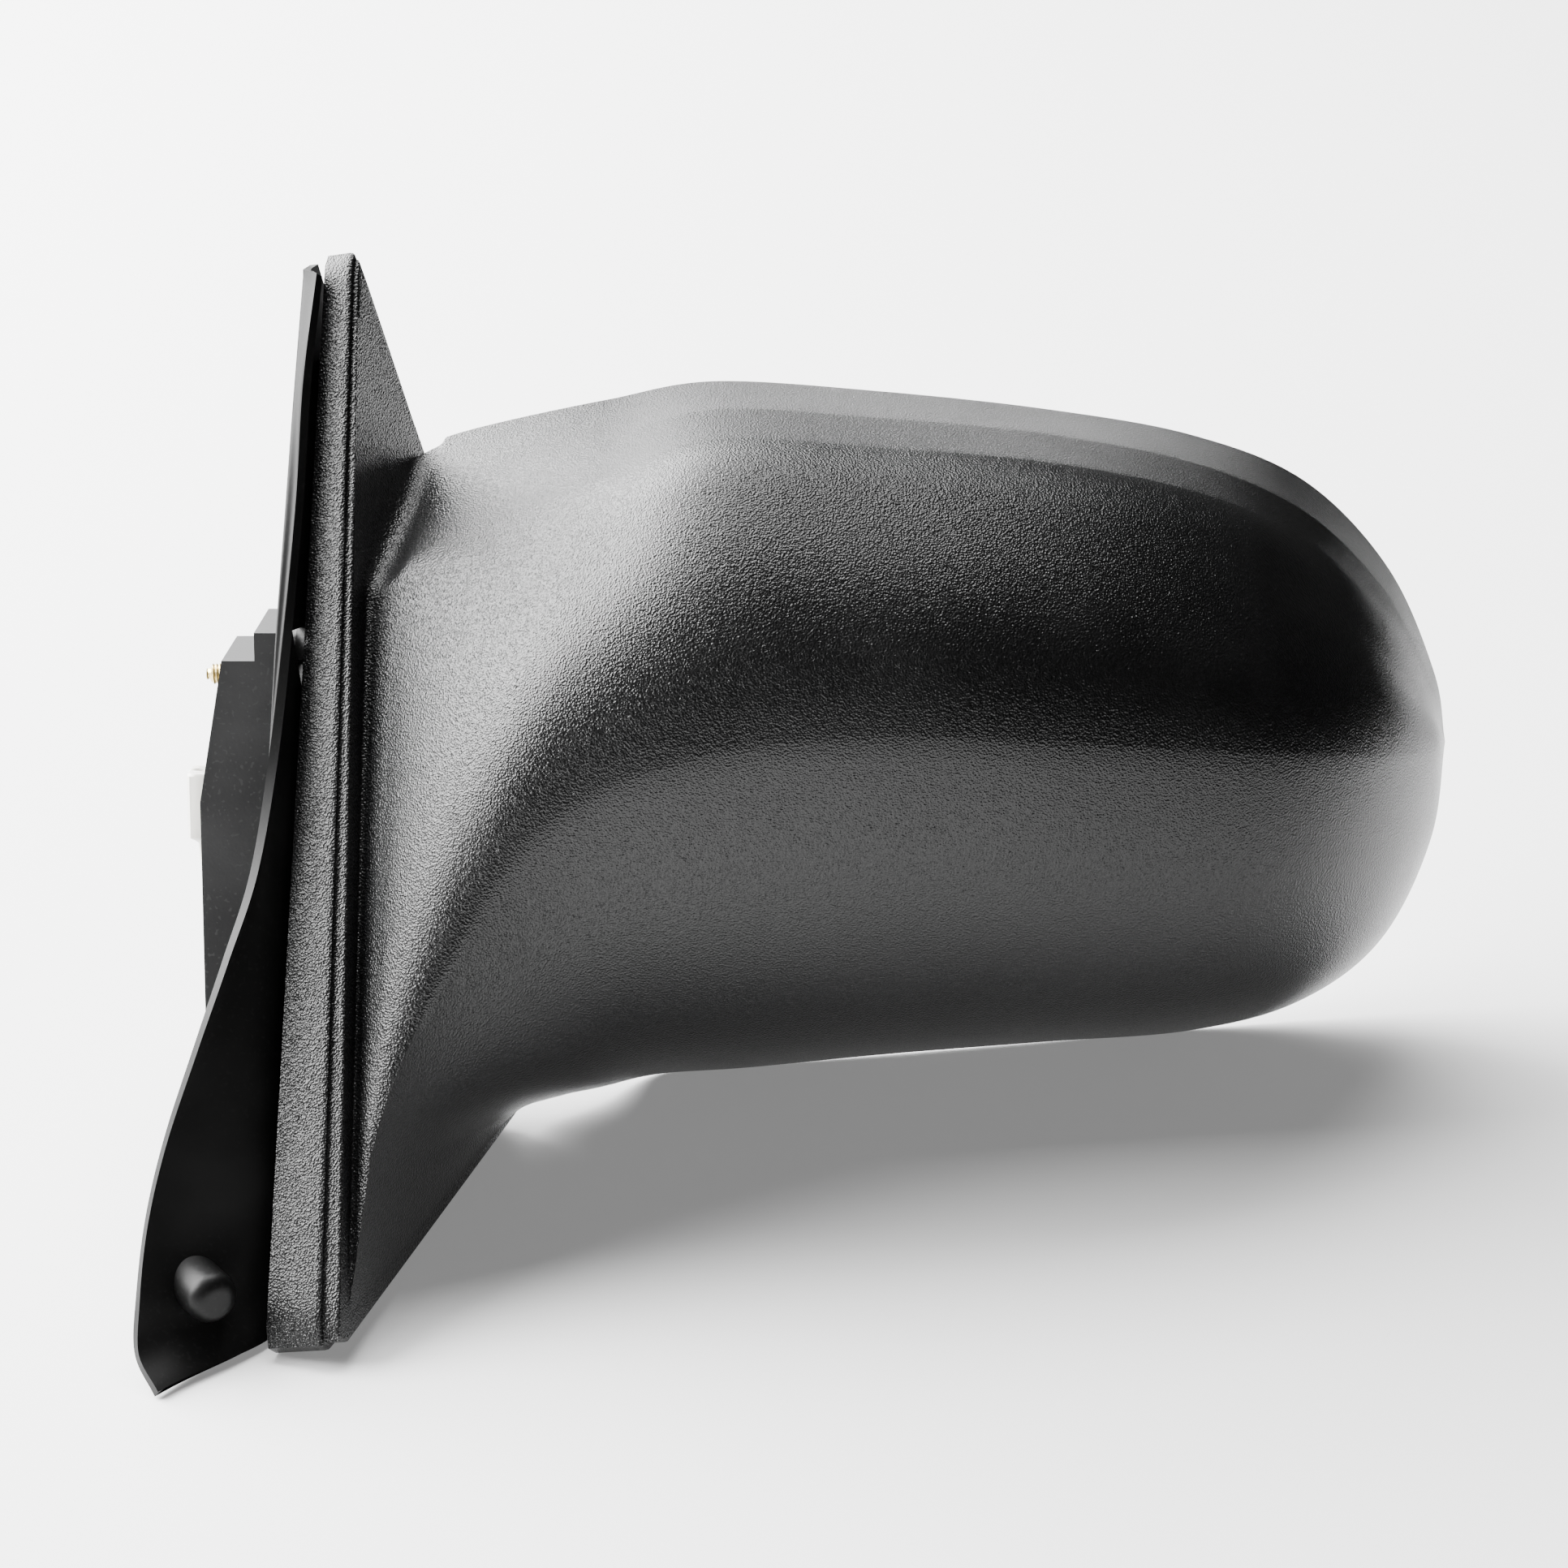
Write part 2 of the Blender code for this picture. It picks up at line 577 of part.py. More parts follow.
def throat_loop():
    """Loop of the cavity where it passes from the sail's face into the neck."""
    n = np.array(sail_normal())
    root = head_rows()[0]
    face = rim_rows(0.0, 0.0)[-1]
    rear = sum(LOOP_COUNTS[:4])
    root[rear:] = face[rear:] - np.array([0, REAR_LEDGE, 0])
    inward = root.mean(axis=0) - root
    inward /= np.linalg.norm(inward, axis=1, keepdims=True)
    reach = np.full((len(root), 1), THROAT_INSET)
    reach[rear:] = THROAT_REAR
    return root + reach * inward - WALL * n


def housing(parent, mirror):
    """One moulding of sail, neck and head: the outer form less its cavity and the glass window."""
    rows = np.array(housing_rows())
    shell = place("housing_shell", net_mesh(rows[:-1], rows[0].mean(axis=0), rows[-1].mean(axis=0)),
                  black_plastic(), parent)
    rim = rim_rows(WALL, 5.0)
    head = offset_rows(rows[len(rim) + ROOT_LOOPS:-1], WALL)
    inner = np.concatenate([rim, [throat_loop()], head[:-CAVITY_END]])
    mouth = inner[0]
    tip = inner[-1].mean(axis=0) + np.array([TIP_REACH, 0, 0])
    cavity = place("cavity_cutter", net_mesh(inner, mouth.mean(axis=0), tip), None, parent, CUTTERS)
    window = place("window_cutter", stack_mesh(window_levels()), None, mirror, CUTTERS)
    cut(shell, cavity, window)
    for number, spot in enumerate(HOUSING_SCREWS, 1):
        low, high = sail_point(spot, BASE_LEVEL + FIT), sail_point(spot, 0.5)
        post = place(f"post_{number}", rod_mesh(low, high, POST_R), None, parent, CUTTERS)
        bore = rod_mesh(sail_point(spot, BASE_LEVEL - 5), sail_point(spot, -1.2), SMALL_SCREW_R + FIT)
        join(shell, post)
        cut(shell, place(f"post_bore_{number}", bore, None, parent, CUTTERS))
    return shell


def sail_point(spot, level):
    """Point of the sail's plane at (y, z), moved along its normal by level."""
    return Vector((sail_x(*spot), *spot)) + sail_normal() * level


def window_levels():
    """The glass opening, then the pocket behind it, as outlines with their depths."""
    full = rounded_outline(OPENING)
    deep = rounded_outline(inset(OPENING, POCKET_INSET))
    return [(deep, PIVOT_DEPTH - POCKET_DEPTH), (full, PIVOT_DEPTH - WALL - 1), (full, PIVOT_DEPTH + 12)]


# ------------------------------------------------------------------------------ fasteners
def screw(name, seat, way, shank_r, length, head_r, head_h, finish, parent):
    """Pan head screw: seat is the middle of the face its head sits on, way points to its tip."""
    way = Vector(way).normalized()
    tip = min(shank_r * 0.5, 0.8)
    profile = [(-head_h, 0.0), (-head_h, head_r * 0.55), (-head_h * 0.6, head_r * 0.9), (-FIT, head_r),
               (-FIT, shank_r), (length - tip, shank_r), (length, shank_r - tip)]
    body = turned_mesh(profile, seat, way, 12)
    return place(name, body, finish, parent)


def hole(name, start, end, radius, parent):
    return place(name, rod_mesh(start, end, radius, sides=20), None, parent, CUTTERS)


# ------------------------------------------------------------------------------ base
def base_levels(gap, level, beyond):
    """Loop of the base's outline between its top level and the level past the mounting edge."""
    n = np.array(sail_normal())
    loop = sail_loop(WALL + BASE_CLEAR + gap, LOOP_COUNTS)
    edge = np.array([[sail_x(y, z), y, z] for y, z in loop])
    depth = np.array([rim_depth(z) for z in loop[:, 1]])[:, None]
    return edge - (depth + beyond) * n, edge + level * n


def boss_mesh(grow=0.0, x0=BOSS_X0):
    """Block of the base that stands inboard: flat face at x0, sloping back, then a step up."""
    y0, y1, z0, z1, z2 = BOSS_Y0 - grow, BOSS_Y1 + grow, BOSS_Z0 - grow, BOSS_Z1, BOSS_STEP_Z + grow
    x1 = BOSS_X1 if grow == 0 else SEAT_HIGH[0]
    step = BOSS_STEP_X - grow
    side = [(x0, z0), (x1, z0), (x1, z2), (step, z2), (step, z1), (x0 + BOSS_SLOPE, z1), (x0, BOSS_FLAT_TOP)]
    bm = bmesh.new()
    face = bm.faces.new([bm.verts.new((x, y0, z)) for x, z in side])
    raised = bmesh.ops.extrude_face_region(bm, geom=[face])
    moved = [v for v in raised["geom"] if isinstance(v, bmesh.types.BMVert)]
    bmesh.ops.translate(bm, verts=moved, vec=(0, y1 - y0, 0))
    bmesh.ops.triangulate(bm, faces=bm.faces)
    return bm


def mounting_base(parent):
    """Base plate inside the sail's rim, with the boss that meets the door."""
    low, high = base_levels(0.0, BASE_LEVEL, BASE_PROUD)
    base = place("mounting_base", net_mesh([low, high], low.mean(axis=0), high.mean(axis=0)),
                 grey_plastic(), parent)
    low, high = base_levels(BASE_WALL, BASE_LEVEL - BASE_T, BASE_PROUD + 6)
    tray = place("tray_cutter", net_mesh([low, high], low.mean(axis=0), high.mean(axis=0)),
                 None, parent, CUTTERS)
    cut(base, tray)
    join(base, place("boss", boss_mesh(), None, parent, CUTTERS),
         place("bracket_seat", box_mesh(SEAT_LOW, SEAT_HIGH), None, parent, CUTTERS))
    for number, (z0, z1) in enumerate(CORES, 1):
        room = box_mesh((CORE_FLOOR, SEAT_LOW[1] + CORE_WALL, z0),
                        (SEAT_HIGH[0] + 1, SEAT_HIGH[1] - CORE_WALL, z1))
        cut(base, place(f"core_{number}", room, None, parent, CUTTERS))
    rib_low = (BOSS_X0 + 0.8, BOSS_Y1 - 1, CONNECTOR_LOW[2] + 4)
    rib_high = (CONNECTOR_HIGH[0], CONNECTOR_LOW[1] - FIT, CONNECTOR_HIGH[2] - 4)
    join(base, place("connector_rib", box_mesh(rib_low, rib_high), None, parent, CUTTERS))
    for number, (y, z) in enumerate(INSERTS, 1):
        ends = (BOSS_X0 - 1, y, z), (BOSS_X0 + INSERT_L + 2, y, z)
        cut(base, hole(f"insert_hole_{number}", *ends, INSERT_R + RUN, parent))
    for number, (y, z, tip) in enumerate(BRACKET_SCREWS, 1):
        start = (tip - 2, y, z)
        cut(base, hole(f"bracket_hole_{number}", start, (SEAT_HIGH[0] + 1, y, z), SCREW_R + FIT, parent))
    for number, spot in enumerate(HOUSING_SCREWS, 1):
        ends = sail_point(spot, -20), sail_point(spot, 0)
        cut(base, hole(f"housing_hole_{number}", *ends, SMALL_SCREW_R + FIT, parent))
        ends = sail_point(spot, -20), sail_point(spot, BASE_LEVEL - BASE_T)
        cut(base, hole(f"head_room_{number}", *ends, SMALL_HEAD_R + FIT, parent))
    ends = sail_point(CABLE_HOLE, -20), sail_point(CABLE_HOLE, 0)
    cut(base, hole("cable_hole", *ends, CABLE_R + FIT + GROMMET_WALL + FIT, parent))
    return base


def rear_edge_point(share):
    """Point of the gasket's rear edge, share of the way from its bottom to its top."""
    corners = np.array([c[:2] for c in sail_corners()])
    ys, zs = corners[[4, 3, 2, 1], 0], corners[[4, 3, 2, 1], 1]
    z = zs[0] + (zs[-1] - 5 - zs[0]) * share
    y = np.interp(z, zs, ys) - sail_normal().y * rim_depth(z) - GASKET_REAR
    return gasket_plane(y, z)


def gasket_plane(y, z):
    return np.array([sail_x(y, z, -rim_depth(z) - GASKET_LEVEL - GASKET_T), y, z])


def gasket_grid(across=9):
    """Gasket's inboard surface: rows from bottom to top, each from front edge to rear edge."""
    front = spline(GASKET_EDGE, 25)
    flare = spline(np.array(GASKET_FLARE, float)[:, None], 25)[:, 0]
    rows = []
    for k, start in enumerate(front):
        end = rear_edge_point(k / (len(front) - 1))
        way = end[1:] - start[1:]
        reach = np.linalg.norm(way)
        share = min(flare[k] / reach, 0.45)
        bend = gasket_plane(*(start[1:] + way * share))
        soft = bezier(start, start + (bend - start) * 0.5, bend - (end - bend) * 0.12, bend,
                      np.linspace(0, 1, 4))
        straight = bend + (end - bend) * np.linspace(0, 1, across - 3)[1:, None]
        rows.append(np.vstack([soft, straight]))
    return rows


def base_gasket(parent):
    """Soft backing plate between the mirror and the door, flared at its front lower corner."""
    bm = bmesh.new()
    rows = [[bm.verts.new(p) for p in row] for row in gasket_grid()]
    for here, there in zip(rows, rows[1:]):
        for k in range(len(here) - 1):
            bm.faces.new([here[k], here[k + 1], there[k + 1], there[k]])
    gasket = place("base_gasket", bm, gasket_rubber(), parent)
    if gasket.data.polygons[0].normal.x > 0:
        gasket.data.flip_normals()
    sheet = gasket.modifiers.new("sheet", "SOLIDIFY")
    sheet.thickness = GASKET_T * MM
    sheet.offset = -1.0
    join(gasket, place("peg", rod_mesh(PEG_FOOT, PEG_TIP, PEG_R, PEG_R - 0.6), None, parent, CUTTERS))
    cut(gasket, place("boss_window", boss_mesh(WINDOW_GAP, -20.0), None, parent, CUTTERS))
    ends = sail_point(CABLE_HOLE, -25), sail_point(CABLE_HOLE, 0)
    cut(gasket, hole("gasket_cable_hole", *ends, CABLE_R + FIT + GROMMET_WALL + FIT, parent))
    return gasket


def inserts_and_screws(parent):
    for number, (y, z) in enumerate(INSERTS, 1):
        ring = tube_mesh((BOSS_X0, y, z), (1, 0, 0), INSERT_BORE, INSERT_R, FIT, INSERT_L + FIT, 20)
        place(f"threaded_insert_{number}", ring, brass(), parent)
    for number, (y, z, tip) in enumerate(BRACKET_SCREWS, 1):
        screw(f"bracket_screw_{number}", (FLANGE[1], y, z), (-1, 0, 0), SCREW_R, FLANGE[1] - tip,
              SCREW_HEAD_R, SCREW_HEAD_H, yellow_zinc(), parent)
    for number, spot in enumerate(HOUSING_SCREWS, 1):
        seat = sail_point(spot, BASE_LEVEL - BASE_T)
        screw(f"housing_screw_{number}", seat, sail_normal(), SMALL_SCREW_R, BASE_T + 1.4,
              SMALL_HEAD_R, SMALL_HEAD_H, steel(), parent)


# ------------------------------------------------------------------------------ support bracket
def case_corner(side_u, side_w):
    """Place of a case screw: side is -1 or 1 both ways across."""
    low, high = CASE_LOW + SCREW_INSET, CASE_HIGH - SCREW_INSET
    return (low if side_u < 0 else high, low if side_w < 0 else high)


BRACKET_CORNERS = [(-1, -1), (-1, 1), (1, 1)]
PLATE_CORNER, PLATE_FRAME = 26.0, 17.0


def support_bracket(car, mirror):
    """Pressed steel bracket: flange on the base, channel through the neck, plate for the drive."""
    flange = box_mesh((FLANGE[0], ARM_Y, SEAT_LOW[2]), (FLANGE[1], SEAT_HIGH[1], SEAT_HIGH[2]))
    bracket = place("support_bracket", flange, steel(), car)
    low = (FLANGE[0] + 0.5, ARM_Y, ARM_Z0)
    web = box_mesh(low, (ARM_END, low[1] + ARM_SHEET, ARM_Z1))
    pieces = [place("arm_web", web, None, car, CUTTERS)]
    for name, z in (("arm_lower", ARM_Z0), ("arm_upper", ARM_Z1 - ARM_SHEET)):
        strip = box_mesh((low[0], low[1] + 0.2, z + 0.1),
                         (ARM_FLANGE_END, low[1] + ARM_FLANGE, z + ARM_SHEET - 0.1))
        pieces.append(place(name, strip, None, car, CUTTERS))
    outline = [(CASE_LOW, CASE_HIGH, CASE_CORNER), (CASE_HIGH, CASE_HIGH, CASE_CORNER),
               (CASE_HIGH, CASE_LOW, PLATE_CORNER), (CASE_LOW, CASE_LOW, CASE_CORNER)]
    back = CASE_FRONT - FIT
    plate = slab_mesh(rounded_outline(outline), back - BRACKET_T, back)
    pieces.append(place("drive_plate", plate, None, mirror, CUTTERS))
    join(bracket, *pieces)
    opening = [(u, w, CASE_CORNER) for u, w, _ in inset(outline, PLATE_FRAME)]
    window = slab_mesh(rounded_outline(opening), back - BRACKET_T - 4, back + 1)
    cut(bracket, place("plate_window", window, None, mirror, CUTTERS))
    for number, sides in enumerate(BRACKET_CORNERS, 1):
        u, w = case_corner(*sides)
        ends = (u, back - BRACKET_T - 1, w), (u, back + 1, w)
        cut(bracket, hole(f"plate_hole_{number}", *ends, SMALL_SCREW_R + FIT, mirror))
    for number, (y, z, _) in enumerate(BRACKET_SCREWS, 1):
        ends = (FLANGE[0] - 1, y, z), (FLANGE[1] + 1, y, z)
        cut(bracket, hole(f"flange_hole_{number}", *ends, SCREW_R + FIT, car))
    for number, sides in enumerate(BRACKET_CORNERS, 1):
        u, w = case_corner(*sides)
        screw(f"actuator_screw_{number}", (u, back - BRACKET_T, w), (0, 1, 0), SMALL_SCREW_R,
              SMALL_SCREW_L, SMALL_HEAD_R, SMALL_HEAD_H, steel(), mirror)
    return bracket


# ------------------------------------------------------------------------------ drive
def drive_places():
    """The two drives: tilt up and down below the pivot, tilt in and out inboard of it.

    Each is (name, plunger's place, worm's middle, worm's direction), across and up.
    """
    reach = MODULE * WHEEL_TEETH / 2 + WORM_R
    near = PLUNGER_ARM - reach
    return [("vertical", (0.0, -PLUNGER_ARM), (0.0, -near), (1.0, 0.0)),
            ("horizontal", (-PLUNGER_ARM, 0.0), (-near, 0.0), (0.0, 1.0))]


def actuator_case(mirror):
    """Drive's front case with screw columns, and its back cover with the ring's two ears."""
    outline = [(CASE_LOW, CASE_HIGH, CASE_CORNER), (CASE_HIGH, CASE_HIGH, CASE_CORNER),
               (CASE_HIGH, CASE_LOW, CASE_CORNER), (CASE_LOW, CASE_LOW, CASE_CORNER)]
    case = place("actuator_case", slab_mesh(rounded_outline(outline), CASE_FRONT, CASE_SPLIT),
                 grey_plastic(), mirror)
    room = [(u, w, COLUMN_R) for u, w, _ in inset(outline, CASE_WALL)]
    pocket = slab_mesh(rounded_outline(room), CASE_FRONT + CASE_WALL, CASE_SPLIT + 3)
    cut(case, place("case_pocket", pocket, None, mirror, CUTTERS))
    cover = place("actuator_cover", slab_mesh(rounded_outline(outline), CASE_SPLIT + FIT, CASE_BACK),
                  grey_plastic(), mirror)
    for side in (-1, 1):
        inner, outer = sorted((side * EAR_IN, side * EAR_OUT))
        ear = box_mesh((inner, CASE_BACK - 1, -EAR_HALF), (outer, EAR_TOP, EAR_HALF))
        join(cover, place(f"cover_ear_{side}", ear, None, mirror, CUTTERS))
    cut(cover, hole("ear_bore", (-EAR_OUT - 1, 0, 0), (EAR_OUT + 1, 0, 0), PIN_R + RUN, mirror))
    for name, (u, w), _, _ in drive_places():
        ends = (u, CASE_SPLIT - 1, w), (u, CASE_BACK + 1, w)
        cut(cover, hole(f"plunger_hole_{name}", *ends, PLUNGER_R + FIT, mirror))
    for side_u in (-1, 1):
        for side_w in (-1, 1):
            u, w = case_corner(side_u, side_w)
            tag = f"{'i' if side_u < 0 else 'o'}{'l' if side_w < 0 else 'u'}"
            ends = (u, CASE_SPLIT - SMALL_SCREW_L, w), (u, CASE_BACK + 1, w)
            cut(cover, hole(f"cover_hole_{tag}", *ends, SMALL_SCREW_R + FIT, mirror))
            cut(case, hole(f"case_hole_{tag}", *ends, SMALL_SCREW_R + FIT, mirror))
            screw(f"cover_screw_{tag}", (u, CASE_BACK, w), (0, -1, 0), SMALL_SCREW_R,
                  SMALL_SCREW_L, SMALL_HEAD_R, SMALL_HEAD_H, steel(), mirror)
    for number, sides in enumerate(BRACKET_CORNERS, 1):
        u, w = case_corner(*sides)
        ends = (u, CASE_FRONT - 1, w), (u, CASE_FRONT + SMALL_SCREW_L - BRACKET_T + 1, w)
        cut(case, hole(f"front_hole_{number}", *ends, SMALL_SCREW_R + FIT, mirror))


def plunger(name, place_at, mirror):
    """Jackscrew with a ball end that works in the carrier's socket."""
    profile = [(PLUNGER_FRONT, PLUNGER_R - 0.6), (PLUNGER_FRONT + 0.6, PLUNGER_R),
               (PLUNGER_SHOULDER, PLUNGER_R), (PLUNGER_SHOULDER + 1, NECK_R)]
    low = -np.sqrt(BALL_R**2 - NECK_R**2)
    for angle in np.linspace(np.arcsin(low / BALL_R), pi / 2, 9):
        profile.append((BALL_R * sin(angle), max(BALL_R * cos(angle), 0.0)))
    profile[-1] = (BALL_R, 0.0)
    body = turned_mesh(profile, (place_at[0], 0, place_at[1]), (0, 1, 0), 18)
    place(f"plunger_{name}", body, natural_nylon(), mirror, origin=(place_at[0], 0, place_at[1]))


def wheel(name, place_at, mirror):
    """Worm wheel round the plunger, with a gap between teeth facing the worm."""
    radius = MODULE * WHEEL_TEETH / 2
    to_worm = np.arctan2(-place_at[1], -place_at[0])
    outline = []
    pitch = 2 * pi / WHEEL_TEETH
    for k in range(WHEEL_TEETH):
        middle = to_worm + (k + 0.5) * pitch
        for share, r in ((-0.25, radius - MODULE), (-0.1, radius + MODULE - TIP_CLEAR),
                         (0.1, radius + MODULE - TIP_CLEAR), (0.25, radius - MODULE)):
            angle = middle + share * pitch
            outline.append((place_at[0] + r * cos(angle), place_at[1] + r * sin(angle)))
    low, high = DRIVE_DEPTH - WHEEL_W / 2, DRIVE_DEPTH + WHEEL_W / 2
    gear = place(f"worm_wheel_{name}", slab_mesh(outline, low, high), natural_nylon(), mirror,
                 origin=(0, 0, 0))
    ends = (place_at[0], low - 1, place_at[1]), (place_at[0], high + 1, place_at[1])
    cut(gear, hole(f"wheel_bore_{name}", *ends, PLUNGER_R + FIT, mirror))


def worm(name, middle, way, mirror):
    """Worm on the motor's shaft: one start, its thread standing on a round core."""
    lead = pi * MODULE
    sides, rows = 14, 33
    along = np.linspace(-WORM_HALF, WORM_HALF, rows)[:, None]
    angle = np.linspace(0, 2 * pi, sides, endpoint=False)[None, :]
    phase = (along / lead - WORM_HAND * angle / (2 * pi)) % 1.0
    height = np.clip((0.5 - np.abs(phase - 0.5)) * -6.2 + 1.55, 0.0, 1.0)
    fade = np.clip((WORM_HALF - np.abs(along)) / 0.6, 0.0, 1.0)
    radius = WORM_R - MODULE + (2 * MODULE - TIP_CLEAR) * height * fade
    forward = np.array([way[0], 0.0, way[1]])
    centre = np.array([middle[0], DRIVE_DEPTH, middle[1]])
    to_wheel = worm_side(middle)
    other = np.cross(forward, to_wheel)
    grid = (centre + along[:, :, None] * forward
            + (radius * np.cos(angle))[:, :, None] * to_wheel
            + (radius * np.sin(angle))[:, :, None] * other)
    ends = centre - WORM_HALF * forward, centre + WORM_HALF * forward
    body = place(f"worm_{name}", net_mesh(list(grid), *ends), brass(), mirror)
    shaft = rod_mesh(centre + forward * (WORM_HALF - 1),
                     centre + forward * (WORM_HALF + MOTOR_GAP - FIT), SHAFT_R)
    join(body, place(f"shaft_{name}", shaft, None, mirror, CUTTERS))


def worm_side(middle):
    """Unit direction from a worm to its wheel."""
    outward = np.array([middle[0], 0.0, middle[1]])
    return outward / np.linalg.norm(outward)



def motor(name, middle, way, mirror):
    forward = Vector((way[0], 0.0, way[1]))
    start = Vector((middle[0], DRIVE_DEPTH, middle[1])) + forward * (WORM_HALF + MOTOR_GAP)
    profile = [(0.0, 2.5), (0.0, 3.0), (1.2, 3.0), (1.2, MOTOR_R - 0.6), (1.8, MOTOR_R),
               (MOTOR_L - 0.6, MOTOR_R), (MOTOR_L, MOTOR_R - 0.6)]
    place(f"motor_{name}", turned_mesh(profile, start, forward, 28), steel(), mirror)


def cardan_ring(mirror):
    """Ring between case and carrier, with two pins for each."""
    body = place("cardan_ring", tube_mesh((0, 0, 0), (0, 1, 0), RING_IN, RING_OUT, -RING_HALF, RING_HALF),
                 grey_plastic(), mirror)
    middle = (RING_IN + RING_OUT) / 2
    for way in ((1, 0), (-1, 0), (0, 1), (0, -1)):
        start = (way[0] * middle, 0, way[1] * middle)
        end = (way[0] * PIN_END, 0, way[1] * PIN_END)
        pin = place(f"ring_pin_{way[0]}_{way[1]}", rod_mesh(start, end, PIN_R, sides=20), None, mirror,
                    CUTTERS)
        join(body, pin)


# ------------------------------------------------------------------------------ glass
def glass_carrier(mirror):
    """Disc behind the holder, with ears for the ring's pins and sockets for the plungers."""
    high = CARRIER_BACK + CARRIER_T
    disc = rod_mesh((0, CARRIER_BACK, 0), (0, high, 0), SNAP_R, sides=40)
    body = place("glass_carrier", disc, grey_plastic(), mirror)
    for side in (-1, 1):
        inner, outer = sorted((side * EAR_IN, side * EAR_OUT))
        ear = box_mesh((-EAR_HALF, -EAR_TOP, inner), (EAR_HALF, CARRIER_BACK + 1, outer))
        join(body, place(f"carrier_ear_{side}", ear, None, mirror, CUTTERS))
        slot = box_mesh((inner - EAR_ROOM, CARRIER_BACK - 1, -EAR_HALF - EAR_ROOM),
                        (outer + EAR_ROOM, high + 1, EAR_HALF + EAR_ROOM))
        cut(body, place(f"ear_slot_{side}", slot, None, mirror, CUTTERS))
    cut(body, hole("carrier_bore", (0, 0, -EAR_OUT - 1), (0, 0, EAR_OUT + 1), PIN_R + RUN, mirror))
    cup_r = BALL_R + BALL_PLAY + SOCKET_WALL
    for name, (u, w), _, _ in drive_places():
        cup = rod_mesh((u, SOCKET_LOW, w), (u, CARRIER_BACK + 1, w), cup_r)
        join(body, place(f"socket_{name}", cup, None, mirror, CUTTERS))
        bm = bmesh.new()
        bmesh.ops.create_uvsphere(bm, u_segments=20, v_segments=12, radius=BALL_R + BALL_PLAY,
                                  matrix=Matrix.Translation((u, 0, w)) @ Matrix.Rotation(pi / 2, 4, "X"))
        cut(body, place(f"socket_room_{name}", bm, None, mirror, CUTTERS))
    return body


def glass_stack(mirror):
    """Holder, bonding pad and mirror glass, from the carrier rearward."""
    back = CARRIER_BACK + CARRIER_T + FIT
    face = back + HOLDER_T
    pad = face + FIT
    glass = pad + PAD_T + FIT
    edge = GLASS_GAP - FIT - HOLDER_LIP
    holder = place("glass_holder", slab_mesh(rounded_outline(inset(OPENING, edge)), back,
                                             glass + GLASS_T + LIP_PROUD), black_plastic(), mirror)
    room = slab_mesh(rounded_outline(inset(OPENING, GLASS_GAP - FIT)), face, glass + GLASS_T + 5)
    cut(holder, place("holder_room", room, None, mirror, CUTTERS))
    snap = tube_mesh((0, 0, 0), (0, 1, 0), SNAP_R + FIT, SNAP_R + SNAP_T, CARRIER_BACK + 0.4, back + 0.5, 40)
    join(holder, place("snap_ring", snap, None, mirror, CUTTERS))
    half_u, half_w = PAD_HALF
    outline = [(-half_u, half_w, 8), (half_u, half_w, 8), (half_u, -half_w, 8), (-half_u, -half_w, 8)]
    place("bonding_pad", slab_mesh(rounded_outline(outline), pad, pad + PAD_T), foam(), mirror)
    place("mirror_glass", slab_mesh(rounded_outline(inset(OPENING, GLASS_GAP)), glass, glass + GLASS_T),
          mirror_silver(), mirror)


# ------------------------------------------------------------------------------ wiring
def wiring(car):
    """Pigtail from the drive through neck and base to its connector."""
    low, high = Vector(CONNECTOR_LOW), Vector(CONNECTOR_HIGH)
    body = place("connector_body", box_mesh(low, high), natural_nylon(), car)
    edge = body.modifiers.new("edges", "BEVEL")
    edge.width = 1.2 * MM
    edge.segments = 2
    exit_at = Vector(((low.x + high.x) / 2, (low.y + high.y) / 2, low.z - FIT))
    through = [tuple(sail_point(CABLE_HOLE, level)) for level in (5.0, -1.0, -8.0, -15.0)]
    loop = [(exit_at.x + x, exit_at.y + y, exit_at.z + z) for x, y, z in CABLE_LOOP]
    route = CABLE_INSIDE + through + loop + [tuple(exit_at)]
    points = spline(route, 34)
    curve = bpy.data.curves.new("harness", "CURVE")
    curve.dimensions = "3D"
    curve.bevel_depth = CABLE_R * MM
    curve.bevel_resolution = 2
    curve.use_fill_caps = True
    line = curve.splines.new("POLY")
    line.points.add(len(points) - 1)
    for knot, point in zip(line.points, points):
        knot.co = (*(point * MM), 1.0)
    cable = bpy.data.objects.new("wiring_harness", curve)
    curve.materials.append(gasket_rubber())
    cable.parent = car
    collection(PARTS).objects.link(cable)
    ring = tube_mesh(sail_point(CABLE_HOLE, 0.0), sail_normal(), CABLE_R + FIT, CABLE_R + FIT + GROMMET_WALL,
                     BASE_LEVEL - BASE_T - 1.0, BASE_LEVEL + 1.0, 20)
    place("cable_grommet", ring, gasket_rubber(), car)


# ------------------------------------------------------------------------------ main
def main():
    clear_scene()
    car = empty("car_axes", location=(-BOSS_X0, 0, 0), turn=(LIE_PITCH, 0, 0))
    yaw = atan(REAR_YAW)
    depth = PIVOT_DEPTH
    pivot = Vector((GLASS_X + depth * sin(yaw), rear_plane_y(GLASS_X) - depth * cos(yaw), GLASS_Z))
    mirror = empty("mirror_axes", car, pivot, (0, 0, yaw))
    housing(car, mirror)
    mounting_base(car)
    base_gasket(car)
    inserts_and_screws(car)
    support_bracket(car, mirror)
    actuator_case(mirror)
    for name, spot, middle, way in drive_places():
        plunger(name, spot, mirror)
        wheel(name, spot, mirror)
        worm(name, middle, way, mirror)
        motor(name, middle, way, mirror)
    cardan_ring(mirror)
    glass_carrier(mirror)
    glass_stack(mirror)
    wiring(car)


if __name__ == "__main__":
    main()
